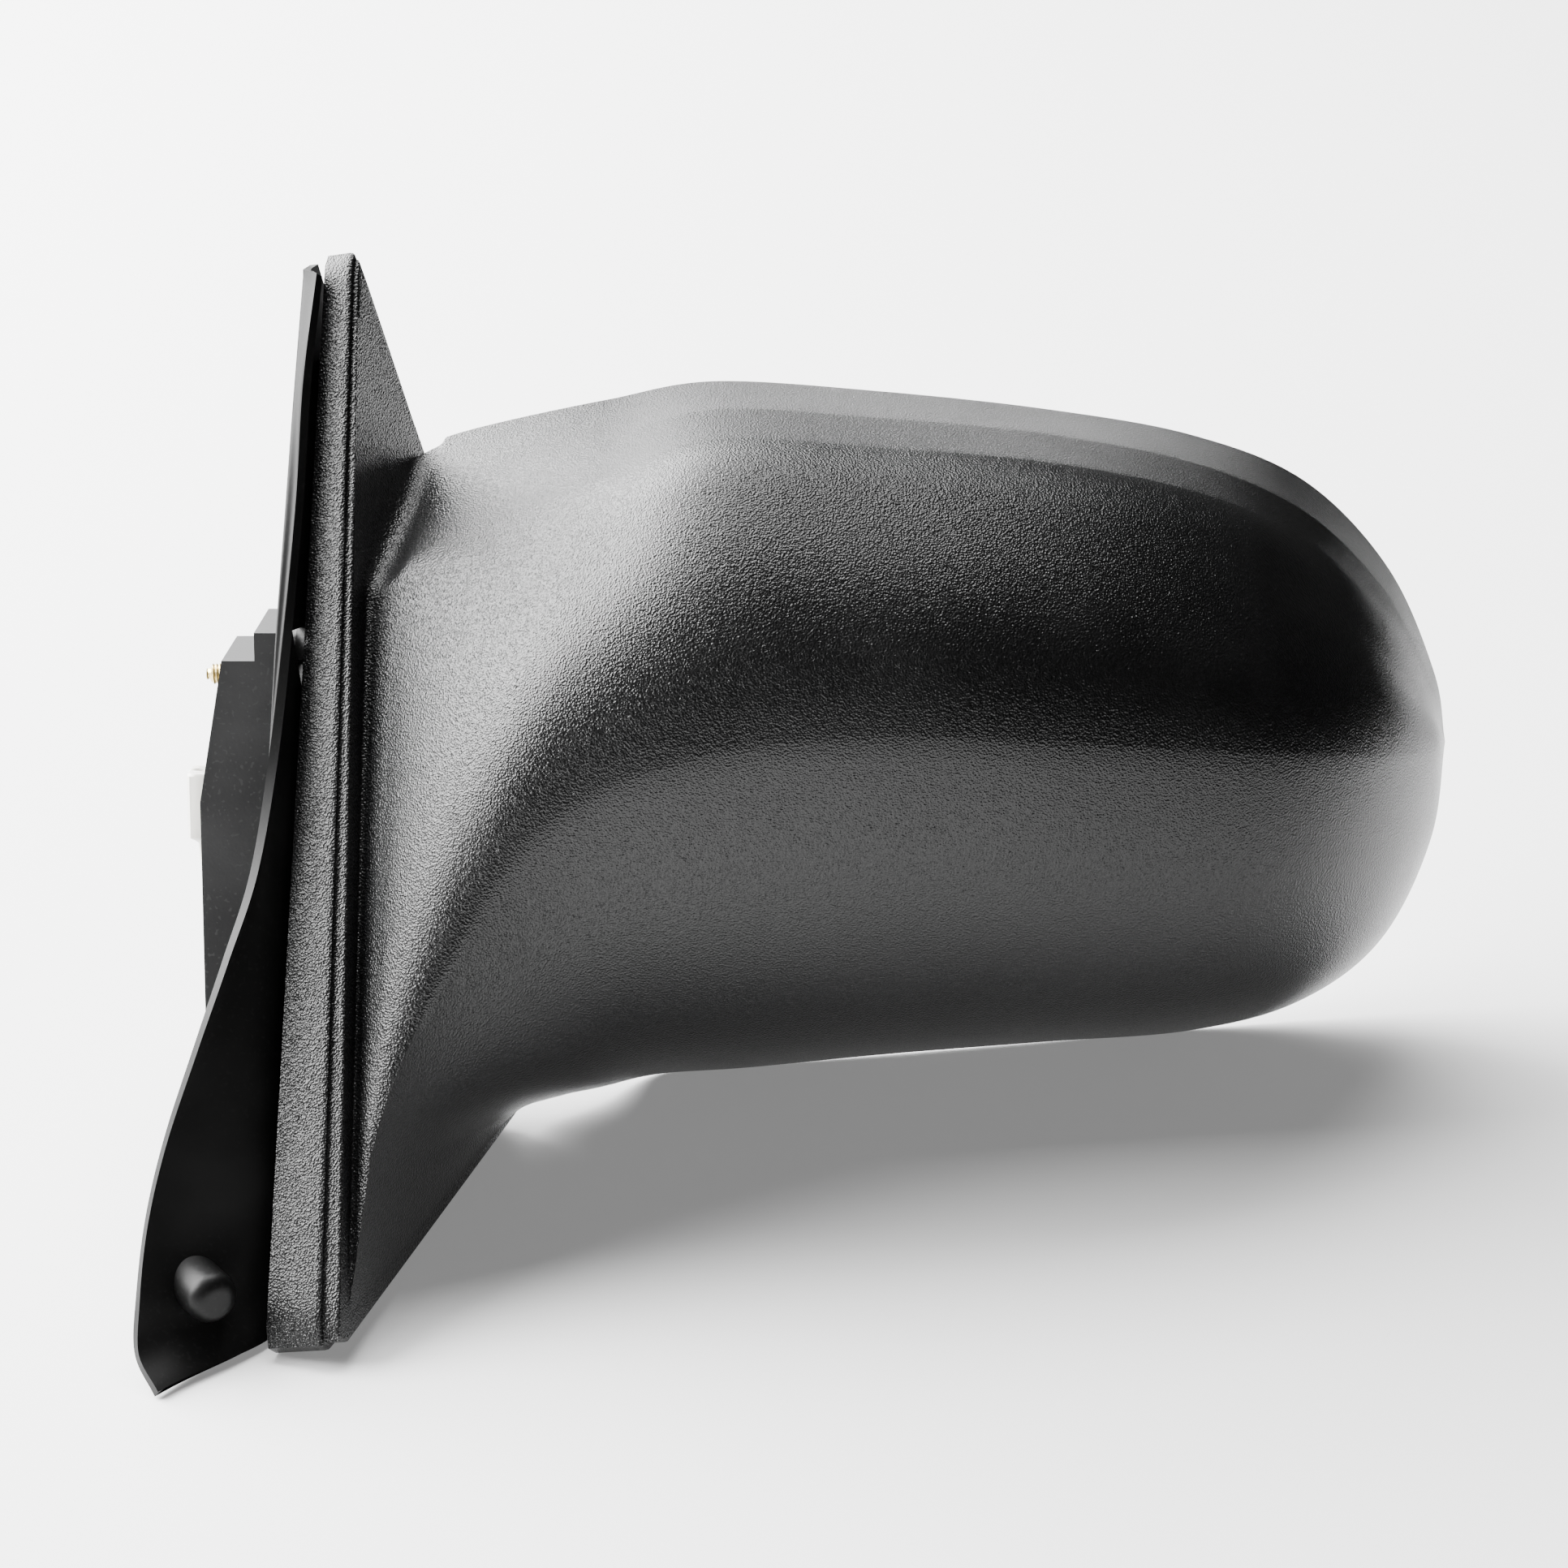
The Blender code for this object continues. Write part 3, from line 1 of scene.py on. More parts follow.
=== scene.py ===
"""Car side mirror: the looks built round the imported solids, with its stage, light and camera.

The mouldings are surfaces computed with numpy from the same feature lines as the solids, at a
finer step, so they carry real curvature. The other solids keep their own shape and take
procedural finishes.
"""

import json
import logging
from dataclasses import dataclass, field
from enum import Enum
from math import atan, cos, pi, radians, sin
from typing import Sequence

import bmesh
import bpy
import numpy as np
from mathutils import Matrix, Vector

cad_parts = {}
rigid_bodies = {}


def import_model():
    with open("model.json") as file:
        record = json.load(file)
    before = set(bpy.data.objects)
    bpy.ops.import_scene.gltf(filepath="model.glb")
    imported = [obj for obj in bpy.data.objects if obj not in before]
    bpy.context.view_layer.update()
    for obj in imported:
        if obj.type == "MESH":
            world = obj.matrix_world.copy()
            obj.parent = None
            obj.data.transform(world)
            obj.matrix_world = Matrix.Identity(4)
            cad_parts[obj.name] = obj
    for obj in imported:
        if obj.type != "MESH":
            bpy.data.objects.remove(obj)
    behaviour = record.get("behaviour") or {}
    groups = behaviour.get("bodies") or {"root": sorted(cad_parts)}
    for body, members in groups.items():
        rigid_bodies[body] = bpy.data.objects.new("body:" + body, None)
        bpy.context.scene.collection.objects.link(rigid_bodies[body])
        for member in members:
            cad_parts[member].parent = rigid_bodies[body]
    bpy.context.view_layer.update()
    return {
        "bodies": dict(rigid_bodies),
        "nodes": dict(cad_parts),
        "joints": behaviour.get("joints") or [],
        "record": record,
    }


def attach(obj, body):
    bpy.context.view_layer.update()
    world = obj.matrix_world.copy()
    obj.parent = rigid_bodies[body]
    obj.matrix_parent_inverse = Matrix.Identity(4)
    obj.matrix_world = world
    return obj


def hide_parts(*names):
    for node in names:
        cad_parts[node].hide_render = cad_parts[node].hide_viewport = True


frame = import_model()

logging.basicConfig(level=logging.INFO, format="%(message)s")
log = logging.getLogger("side_mirror")

MM = 0.001

# ---- how it lies -----------------------------------------------------------------------------
LIE_PITCH = -atan(0.247)       # turn about X that lays the car's axes on the table

# ---- housing: sail (the triangular flange) ------------------------------------------------
SAIL_FRONT = Vector((24.8, -69.0, -88.6))   # lowest corner, at the front
SAIL_TOP = Vector((26.0, 31.0, 110.0))
SAIL_REAR = Vector((55.0, 24.4, -65.9))     # lower rear corner
RIM_DEPTH_FRONT = 11.4         # depth of the rim wall at the front corner
RIM_DEPTH_TOP = 5.8            # and at the top corner
STEP_INSET = 1.0               # ledge between the rim and the sail's raised face
STEP_FRONT = 3.6               # height of that step at the front corner
STEP_TOP = 0.8                 # and at the top corner
CORNER_R = 3.0                 # lower corners of the sail's outline
TOP_R = 1.2                    # its top corner
WALL = 2.5                     # housing wall
THROAT_INSET = 8.0             # root's outline to the cavity's throat
THROAT_REAR = 7.5              # the same along the rear
LOOP_COUNTS = (30, 36, 22, 10, 20)   # points of a loop: belly, face, roof's front and back, rear
REAR_LEDGE = 1.0               # flat strip of the sail behind the neck
FULL_FORM = 2.6                # stations from the sail at which sections have their full curves
TIP_REACH = 2.5                # how far the cavity's end bulges past its last loop

# ---- housing: head -------------------------------------------------------------------------
REAR_X, REAR_Y = 108.0, 48.6   # a point of the rear plane, which stands upright
REAR_YAW = 0.165               # rearward run of that plane for each mm outboard
CREASE_ROUND = 9.0             # rounding of the upper crease

# Feature lines of neck and head, from the sail to the tip, as (x, y, z); a y of None is taken
# from the rear plane.
REAR_TOP = [(45, 41.5, 70.2), (58, 42.3, 73.4), (76, None, 77), (97, None, 80.2), (130, None, 77.5),
            (165, None, 73), (195, None, 67), (218.5, None, 57), (236.5, None, 38.5),
            (247, None, 16), (249.8, None, 1)]
UPPER_CREASE = [(39, 3, 50.3), (54, -2, 56.8), (75, -9, 66), (97, -12, 75), (130, -10, 73.3),
                (165, -4, 69.3), (195, 8, 60.8), (216, 22, 48.5), (232, 38, 32.5),
                (244, 56, 14), (249.8, None, 1)]
LOWER_CREASE = [(35, -48, -48), (49, -42, -17.5), (67, -40.5, 7.5), (95, -40.5, 20),
                (130, -38, 23.3), (165, -32, 20.8), (195, -21, 17.2), (216, -6, 13.8),
                (231.5, 15, 9.5), (244, 44, 4.5), (249.8, None, 1)]
REAR_BOTTOM = [(61, 26.6, -64.6), (72, 34, -63.6), (85, None, -63.2), (104, None, -62.7),
               (133, None, -61.1), (165, None, -59.9), (195, None, -58.9), (217.5, None, -54),
               (235, None, -42), (246, None, -21), (249.8, None, 1)]
# Where the neck meets the sail's raised face, as (y, z); x follows from the face.
ROOT_TOP, ROOT_MIDDLE, ROOT_UPPER, ROOT_LOWER, ROOT_BOTTOM = (
    (39.2, 67.6), (22.0, 55.0), (4.0, 41.0), (-60.0, -79.0), (21.6, -63.9))

STATIONS = 140                 # loops of neck and head along the head
FILLET_START, FILLET_END = 0.72, 10   # share of the raised face and loop the root fillet joins
ROOT_SOLID, END_SOLID = 14, 24 # loops at root and tip that stay solid

# ---- opening and glass, in the mirror's own frame: (across, forward to back, up) ---------------
GLASS_X, GLASS_Z = 166.0, 9.0  # centre of the opening on the rear plane
PIVOT_DEPTH = 17.5             # glass's pivot below that plane
OPENING = [(-77.0, 66.0, 26.0), (73.0, 50.0, 54.0), (73.0, -59.0, 50.0), (-77.0, -65.0, 26.0)]
POCKET_INSET, POCKET_DEPTH = 2.8, 21.5
CORNER_STEPS = 20              # points of each rounded corner of the opening

# ---- gasket, boss, screw and plug --------------------------------------------------------------
GASKET_T, GASKET_LEVEL, GASKET_REAR, WINDOW_GAP = 1.8, 1.7, 1.5, 0.6
GASKET_EDGE = [(-5, -74, -92.6), (-9.2, -69, -86), (-9.2, -65, -76), (-8, -58, -63), (-5, -51, -49.5),
               (0, -43.5, -34), (5, -36, -19), (9.5, -28, -4.5), (12.4, -19, 14.5), (14.6, -8, 37),
               (16.4, 5, 62), (17.2, 16, 84), (19.2, 27, 104)]
GASKET_FLARE = [23, 23, 22, 21, 19, 16, 13, 9, 7, 5, 4, 4, 3]
PEG_FOOT, PEG_TIP, PEG_R = (-2.0, -54.0, -74.5), (4.5, -64.0, -76.5), 5.0
BOSS_X0, BOSS_Y, BOSS_Z = -2.7, (-2.5, 25.0), (-50.0, 37.5)
CABLE_HOLE, CABLE_CLEAR = (28.0, -2.0), 4.8
STUD_Y, STUD_Z, STUD_TIP = 13.0, 26.6, -2.6
PLUG_LOW, PLUG_HIGH = (-9.4, 27.6, -16.2), (5.5, 37.5, 3.2)
BASE_LEVEL, FIT, POST_R = -3.2, 0.3, 4.9
HOUSING_SCREWS = [(27.0, 79.0), (-40.0, -75.3)]


# ------------------------------------------------------------------------------ finishes
class Texture(Enum):
    """Named surface textures and the size of their features, in features per metre."""

    MOULDED = 2400.0
    SATIN = 1500.0
    PLATED = 4000.0
    CLOTH = 6000.0


def shared_group(name: str) -> tuple:
    """Starts a node group with vector, scale and strength inputs, or returns the one made before.

    Args:
        name: the group's name.

    Returns:
        The group, and whether it still has to be filled.
    """
    made = bpy.data.node_groups.get(name)
    if made is not None:
        return made, False
    made = bpy.data.node_groups.new(name, "ShaderNodeTree")
    for label, kind, default in (("Vector", "NodeSocketVector", None), ("Scale", "NodeSocketFloat", 1.0),
                                 ("Strength", "NodeSocketFloat", 1.0)):
        socket = made.interface.new_socket(name=label, in_out="INPUT", socket_type=kind)
        if default is not None:
            socket.default_value = default
    made.interface.new_socket(name="Height", in_out="OUTPUT", socket_type="NodeSocketFloat")
    made.interface.new_socket(name="Mask", in_out="OUTPUT", socket_type="NodeSocketFloat")
    return made, True


def grain_group() -> bpy.types.NodeTree:
    """Moulded grain: soft cells broken by finer noise, as a height and a mask."""
    group, empty = shared_group("moulded_grain")
    if empty:
        nodes, links = group.nodes, group.links
        source, sink = nodes.new("NodeGroupInput"), nodes.new("NodeGroupOutput")
        cells, noise = nodes.new("ShaderNodeTexVoronoi"), nodes.new("ShaderNodeTexNoise")
        cells.feature = "F1"
        noise.inputs["Detail"].default_value = 1.0
        blend, scaled = nodes.new("ShaderNodeMath"), nodes.new("ShaderNodeMath")
        blend.operation, scaled.operation = "ADD", "MULTIPLY"
        for texture in (cells, noise):
            links.new(source.outputs["Vector"], texture.inputs["Vector"])
            links.new(source.outputs["Scale"], texture.inputs["Scale"])
        links.new(cells.outputs["Distance"], blend.inputs[0])
        links.new(noise.outputs["Fac"], blend.inputs[1])
        links.new(blend.outputs[0], scaled.inputs[0])
        links.new(source.outputs["Strength"], scaled.inputs[1])
        links.new(scaled.outputs[0], sink.inputs["Height"])
        links.new(noise.outputs["Fac"], sink.inputs["Mask"])
    return group


def dust_group() -> bpy.types.NodeTree:
    """Handling marks and settled dust: broad cloudy patches with sparse specks in them."""
    group, empty = shared_group("dust_and_handling")
    if empty:
        nodes, links = group.nodes, group.links
        source, sink = nodes.new("NodeGroupInput"), nodes.new("NodeGroupOutput")
        cloud, specks = nodes.new("ShaderNodeTexNoise"), nodes.new("ShaderNodeTexNoise")
        cloud.inputs["Detail"].default_value = 3.0
        specks.inputs["Detail"].default_value = 0.0
        finer = nodes.new("ShaderNodeMath")
        finer.operation = "MULTIPLY"
        finer.inputs[1].default_value = 40.0
        ramp, spot = nodes.new("ShaderNodeMapRange"), nodes.new("ShaderNodeMapRange")
        ramp.inputs["From Min"].default_value, ramp.inputs["From Max"].default_value = 0.42, 0.7
        spot.inputs["From Min"].default_value, spot.inputs["From Max"].default_value = 0.66, 0.74
        total, scaled = nodes.new("ShaderNodeMath"), nodes.new("ShaderNodeMath")
        total.operation, scaled.operation = "MAXIMUM", "MULTIPLY"
        for texture in (cloud, specks):
            links.new(source.outputs["Vector"], texture.inputs["Vector"])
        links.new(source.outputs["Scale"], cloud.inputs["Scale"])
        links.new(source.outputs["Scale"], finer.inputs[0])
        links.new(finer.outputs[0], specks.inputs["Scale"])
        links.new(cloud.outputs["Fac"], ramp.inputs["Value"])
        links.new(specks.outputs["Fac"], spot.inputs["Value"])
        links.new(ramp.outputs["Result"], total.inputs[0])
        links.new(spot.outputs["Result"], total.inputs[1])
        links.new(total.outputs[0], scaled.inputs[0])
        links.new(source.outputs["Strength"], scaled.inputs[1])
        links.new(ramp.outputs["Result"], sink.inputs["Height"])
        links.new(scaled.outputs[0], sink.inputs["Mask"])
    return group


@dataclass(frozen=True)
class Finish:
    """A procedural material: a base colour, its texture and what handling has left on it.

    Attributes:
        name: the material's name, which is also the record's slot.
        colour: base colour.
        roughness: of the clean surface.
        metallic: 0 or 1.
        texture: the kind and size of its grain.
        depth: height of the grain, in metres.
        rough_spread: change of roughness over the broad patches.
        dust: share of pale dust over the patches.
        clear: share of light let through.
        specular: strength of its plain reflection, 0.5 for most plastics.
        edge: radius in metres that edges look rounded by.
    """

    name: str
    colour: tuple
    roughness: float
    metallic: float = 0.0
    texture: Texture = Texture.SATIN
    depth: float = 0.00001
    rough_spread: float = 0.08
    dust: float = 0.05
    clear: float = 0.0
    specular: float = 0.5
    edge: float = 0.0

    def build(self) -> bpy.types.Material:
        """Makes the material once and returns it."""
        made = bpy.data.materials.get(f"{self.name}_look")
        if made is not None:
            return made
        made = bpy.data.materials.new(f"{self.name}_look")
        made.use_nodes = True
        nodes, links = made.node_tree.nodes, made.node_tree.links
        shader = nodes["Principled BSDF"]
        place = nodes.new("ShaderNodeTexCoord")
        grain, marks = nodes.new("ShaderNodeGroup"), nodes.new("ShaderNodeGroup")
        grain.node_tree, marks.node_tree = grain_group(), dust_group()
        grain.inputs["Scale"].default_value = self.texture.value
        marks.inputs["Scale"].default_value = 35.0
        marks.inputs["Strength"].default_value = self.dust
        for group in (grain, marks):
            links.new(place.outputs["Object"], group.inputs["Vector"])
        tint = nodes.new("ShaderNodeMix")
        tint.data_type = "RGBA"
        links.new(marks.outputs["Mask"], tint.inputs["Factor"])
        tint.inputs["A"].default_value = (*self.colour, 1.0)
        tint.inputs["B"].default_value = (*(0.5 + 0.5 * c for c in self.colour), 1.0)
        links.new(tint.outputs["Result"], shader.inputs["Base Color"])
        rough = nodes.new("ShaderNodeMapRange")
        rough.inputs["To Min"].default_value = self.roughness
        rough.inputs["To Max"].default_value = self.roughness + self.rough_spread
        links.new(marks.outputs["Height"], rough.inputs["Value"])
        links.new(rough.outputs["Result"], shader.inputs["Roughness"])
        bump = nodes.new("ShaderNodeBump")
        bump.inputs["Distance"].default_value = self.depth
        links.new(grain.outputs["Height"], bump.inputs["Height"])
        if self.edge > 0:
            rounded = nodes.new("ShaderNodeBevel")
            rounded.samples = 4
            rounded.inputs["Radius"].default_value = self.edge
            links.new(rounded.outputs["Normal"], bump.inputs["Normal"])
        links.new(bump.outputs["Normal"], shader.inputs["Normal"])
        shader.inputs["Metallic"].default_value = self.metallic
        shader.inputs["Specular IOR Level"].default_value = self.specular
        shader.inputs["Transmission Weight"].default_value = self.clear
        return made


BLACK = Finish("black_plastic", (0.002, 0.002, 0.0021), 0.29, texture=Texture.MOULDED, depth=0.00013,
               rough_spread=0.04, dust=0.004, specular=0.4)
RUBBER = Finish("gasket_rubber", (0.002, 0.002, 0.002), 0.42, specular=0.16, depth=0.000006, dust=0.006)
GREY = Finish("grey_plastic", (0.006, 0.006, 0.0063), 0.42, specular=0.35, depth=0.00001, dust=0.03)
STEEL = Finish("steel", (0.55, 0.55, 0.55), 0.38, metallic=1.0, texture=Texture.PLATED, depth=0.000004)
ZINC = Finish("yellow_zinc", (0.72, 0.58, 0.28), 0.3, metallic=1.0, texture=Texture.PLATED, depth=0.000004)
BRASS = Finish("brass", (0.78, 0.57, 0.27), 0.32, metallic=1.0, texture=Texture.PLATED, depth=0.000003)
NYLON = Finish("natural_nylon", (0.8, 0.79, 0.74), 0.35, depth=0.000008, dust=0.03, clear=0.25)
SILVER = Finish("mirror_silver", (0.86, 0.87, 0.88), 0.03, metallic=1.0, texture=Texture.CLOTH,
                depth=0.0000002, rough_spread=0.05, dust=0.02)
FOAM = Finish("foam", (0.08, 0.08, 0.08), 0.85, texture=Texture.CLOTH, depth=0.00008, dust=0.02)
FINISHES = {f.name: f for f in (BLACK, RUBBER, GREY, STEEL, ZINC, BRASS, NYLON, SILVER, FOAM)}


# ------------------------------------------------------------------------------ mesh tools
def car_matrix() -> Matrix:
    """Turns millimetres in the car's axes into the row frame in metres."""
    return (Matrix.Translation((-BOSS_X0 * MM, 0, 0)) @ Matrix.Rotation(LIE_PITCH, 4, "X")
            @ Matrix.Scale(MM, 4))


def mirror_matrix() -> Matrix:
    """Turns millimetres in the glass's own frame into the row frame in metres."""
    yaw = atan(REAR_YAW)
    pivot = Vector((GLASS_X + PIVOT_DEPTH * sin(yaw), rear_plane_y(GLASS_X) - PIVOT_DEPTH * cos(yaw),
                    GLASS_Z))
    return car_matrix() @ Matrix.Translation(pivot) @ Matrix.Rotation(yaw, 4, "Z")


def grid_object(name: str, points: np.ndarray, matrix: Matrix, around: bool = False,
                caps: tuple = (), sharp: float = 40.0) -> bpy.types.Object:
    """Mesh over a grid of points, with its quads computed in one go.

    Args:
        name: the object's name.
        points: array of shape (rows, columns, 3), in mm.
        matrix: from those points to the row frame.
        around: whether the last column joins the first.
        caps: end points, one before the first row and one after the last, that close the ends.
        sharp: angle in degrees past which an edge shades sharp.

    Returns:
        The object, at the origin, with faces outward.
    """
    rows, columns = points.shape[:2]
    index = np.arange(rows * columns).reshape(rows, columns)
    if around:
        index = np.concatenate([index, index[:, :1]], axis=1)
    quads = np.stack([index[:-1, :-1], index[:-1, 1:], index[1:, 1:], index[1:, :-1]], axis=-1)
    faces = quads.reshape(-1, 4).tolist()
    verts = points.reshape(-1, 3)
    if len(caps):
        total = rows * columns
        verts = np.vstack([verts, np.array(caps, float)])
        first, last = index[0], index[-1]
        start, end = np.full(len(first) - 1, total), np.full(len(last) - 1, total + 1)
        faces += np.stack([first[1:], first[:-1], start], axis=1).tolist()
        faces += np.stack([last[:-1], last[1:], end], axis=1).tolist()
    mesh = bpy.data.meshes.new(name)
    mesh.from_pydata(verts.tolist(), [], faces)
    mesh.transform(matrix)
    tidy = bmesh.new()
    tidy.from_mesh(mesh)
    bmesh.ops.remove_doubles(tidy, verts=tidy.verts, dist=1e-6)
    bmesh.ops.recalc_face_normals(tidy, faces=tidy.faces)
    tidy.to_mesh(mesh)
    tidy.free()
    return shown(name, mesh, sharp)


def shown(name: str, mesh: bpy.types.Mesh, sharp: float) -> bpy.types.Object:
    """Links a mesh as a smooth shaded object."""
    mesh.polygons.foreach_set("use_smooth", np.ones(len(mesh.polygons), bool))
    mesh.set_sharp_from_angle(angle=radians(sharp))
    made = bpy.data.objects.new(name, mesh)
    bpy.context.scene.collection.objects.link(made)
    return made


def turned(name: str, profile: Sequence, axis: Sequence, centre: Sequence, matrix: Matrix,
           sides: int = 64) -> bpy.types.Object:
    """Solid of revolution.

    The surface is (height, radius) of the profile turned about the axis: centre plus height
    along it plus radius times cosine and sine of the angle across it.
    """
    heights, radii = np.array(profile, float).T
    frame_axes = np.array(Vector(axis).to_track_quat("Z", "Y").to_matrix())
    angle = np.linspace(0, 2 * pi, sides, endpoint=False)
    local = np.stack([radii[:, None] * np.cos(angle), radii[:, None] * np.sin(angle),
                      np.repeat(heights[:, None], sides, axis=1)], axis=-1)
    points = local @ frame_axes.T + np.array(centre, float)
    ends = np.array(centre, float) + np.outer(heights[[0, -1]], frame_axes[:, 2])
    return grid_object(name, points, matrix, around=True, caps=tuple(ends))


def carve(target: bpy.types.Object, cutter: bpy.types.Object, operation: str = "DIFFERENCE") -> None:
    """Cuts, or joins, one closed mesh with another and keeps the result as plain mesh."""
    change = target.modifiers.new("carve", "BOOLEAN")
    change.operation, change.solver, change.object = operation, "EXACT", cutter
    bpy.context.view_layer.update()
    depsgraph = bpy.context.evaluated_depsgraph_get()
    result = bpy.data.meshes.new_from_object(target.evaluated_get(depsgraph))
    target.modifiers.clear()
    target.data = result
    bpy.data.objects.remove(cutter)


def dress(piece: bpy.types.Object, finish: Finish, body: str, *nodes: str) -> bpy.types.Object:
    """Gives a piece its finish, its body and the solids it stands for."""
    piece.data.materials.clear()
    piece.data.materials.append(finish.build())
    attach(piece, body)
    if nodes:
        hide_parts(*nodes)
    log.info("%s: %d faces, rides on %s", piece.name, len(piece.data.polygons), body)
    return piece


# ------------------------------------------------------------------------------ form
def rounded_outline(corners: Sequence, steps: int = 6) -> list:
    """Closed outline through rounded corners given as (a, b, radius)."""
    points = []
    count = len(corners)
    for i, (x, y, r) in enumerate(corners):
        here = Vector((x, y))
        back = (Vector(corners[i - 1][:2]) - here).normalized()
        ahead = (Vector(corners[(i + 1) % count][:2]) - here).normalized()
        half = back.angle(ahead) / 2
        centre = here + (back + ahead).normalized() * (r / sin(half))
        start = here + back * (r / np.tan(half)) - centre
        sweep = start.angle_signed(here + ahead * (r / np.tan(half)) - centre)
        for k in range(steps + 1):
            turn = -sweep * k / steps
            points.append(centre + Vector((start.x * cos(turn) - start.y * sin(turn),
                                           start.x * sin(turn) + start.y * cos(turn))))
    return points


def inset(corners: Sequence, gap: float) -> list:
    """The same outline, smaller by gap all round."""
    made = []
    count = len(corners)
    for i in range(count):
        here = Vector(corners[i][:2])
        before = (Vector(corners[i - 1][:2]) - here).normalized()
        after = (Vector(corners[(i + 1) % count][:2]) - here).normalized()
        half = before.angle(after) / 2
        moved = here + (before + after).normalized() * (gap / sin(half))
        made.append((moved.x, moved.y, max(corners[i][2] - gap, 0.5)))
    return made


def rear_plane_y(x: float) -> float:
    """y of the upright plane that the head ends on at its rear."""
    return REAR_Y + REAR_YAW * (x - REAR_X)


def sail_normal() -> Vector:
    """Outward direction of the sail's plane."""
    return (SAIL_TOP - SAIL_FRONT).cross(SAIL_REAR - SAIL_FRONT).normalized() * -1.0


def sail_x(y: float, z: float, raised: float = 0.0) -> float:
    """x of the sail's plane at (y, z), moved out along its normal by raised."""
    n = sail_normal()
    foot = SAIL_FRONT + n * raised
    return foot.x - (n.y * (y - foot.y) + n.z * (z - foot.z)) / n.x


def height_share(z: float) -> float:
    """0 at the sail's front corner, 1 at its top."""
    share = (z - SAIL_FRONT.z) / (SAIL_TOP.z - SAIL_FRONT.z)
    return min(max(share, 0.0), 1.0)


def sail_corners() -> list:
    """Outline of the sail in (y, z, radius): front, top, rear edge's knee, rear."""
    knee = (43.5, 62.0, 30.0)
    return [(SAIL_FRONT.y, SAIL_FRONT.z, CORNER_R), (SAIL_TOP.y, SAIL_TOP.z, TOP_R), knee,
            (40.0, 0.0, 40.0), (SAIL_REAR.y, SAIL_REAR.z, CORNER_R)]


def sail_loop(gap: float, counts: Sequence) -> np.ndarray:
    """Sail's outline, smaller by gap, as points (y, z) in five stretches that match the head's.

    The stretches run rear corner to front corner, front corner to the upper crease's root,
    on to the top, down to the rear top root, and down the rear edge.
    """
    corners = inset(sail_corners(), gap) if gap > 0 else sail_corners()
    steps = 5
    ring = [Vector((p[0], p[1])) for p in rounded_outline(corners, steps)]
    block = steps + 1
    middle = block // 2
    front, top, knee = ring[middle], ring[block + middle], ring[2 * block + middle]
    count = len(ring)
    start = 4 * block + middle
    order = [ring[(start + k) % count] for k in range(count + 1)]
    lengths = np.concatenate([[0.0], np.cumsum([(b - a).length for a, b in zip(order, order[1:])])])
    at_front = lengths[order.index(front)]
    at_top = lengths[order.index(top)]
    at_knee = lengths[order.index(knee)]
    at_upper = at_front + 0.68 * (at_top - at_front)
    marks = [0.0, at_front, at_upper, at_top, at_knee, lengths[-1]]
    ys = [p.x for p in order]
    zs = [p.y for p in order]
    made = []
    for low, high, number in zip(marks, marks[1:], counts):
        reach = np.linspace(low, high, number + 1)[:-1]
        made += list(zip(np.interp(reach, lengths, ys), np.interp(reach, lengths, zs)))
    return np.array(made)


def spline(points: Sequence, count: int) -> np.ndarray:
    """Catmull-Rom curve through the points, read at evenly spaced values of its parameter."""
    points = np.asarray(points, float)
    last = len(points) - 1
    t = np.linspace(0.0, last, count)
    i = np.clip(t.astype(int), 0, last - 1)
    f = (t - i)[:, None]
    padded = np.vstack([2 * points[0] - points[1], points, 2 * points[-1] - points[-2]])
    a, b, c, d = padded[i], padded[i + 1], padded[i + 2], padded[i + 3]
    return 0.5 * (2 * b + (c - a) * f + (2 * a - 5 * b + 4 * c - d) * f**2
                  + (3 * b - a - 3 * c + d) * f**3)


def feature_line(rows: Sequence, root: Sequence, count: int) -> np.ndarray:
    """Feature line from its root on the sail, round the root fillet, to the tip."""
    foot = np.array([sail_x(*root, step_height(root[1])), *root])
    points = [foot] + [np.array([x, rear_plane_y(x) if y is None else y, z]) for x, y, z in rows]
    return spline(points, count)


def step_height(z: float) -> float:
    """Height of the sail's raised face above its ledge."""
    share = height_share(z)
    return STEP_FRONT * (1 - share) + STEP_TOP * share


def bezier(p0: np.ndarray, p1: np.ndarray, p2: np.ndarray, p3: np.ndarray, t: np.ndarray) -> np.ndarray:
    """Points of a cubic Bezier curve at the shares t."""
    t = t[:, None]
    return (1 - t)**3 * p0 + 3 * (1 - t)**2 * t * p1 + 3 * (1 - t) * t**2 * p2 + t**3 * p3


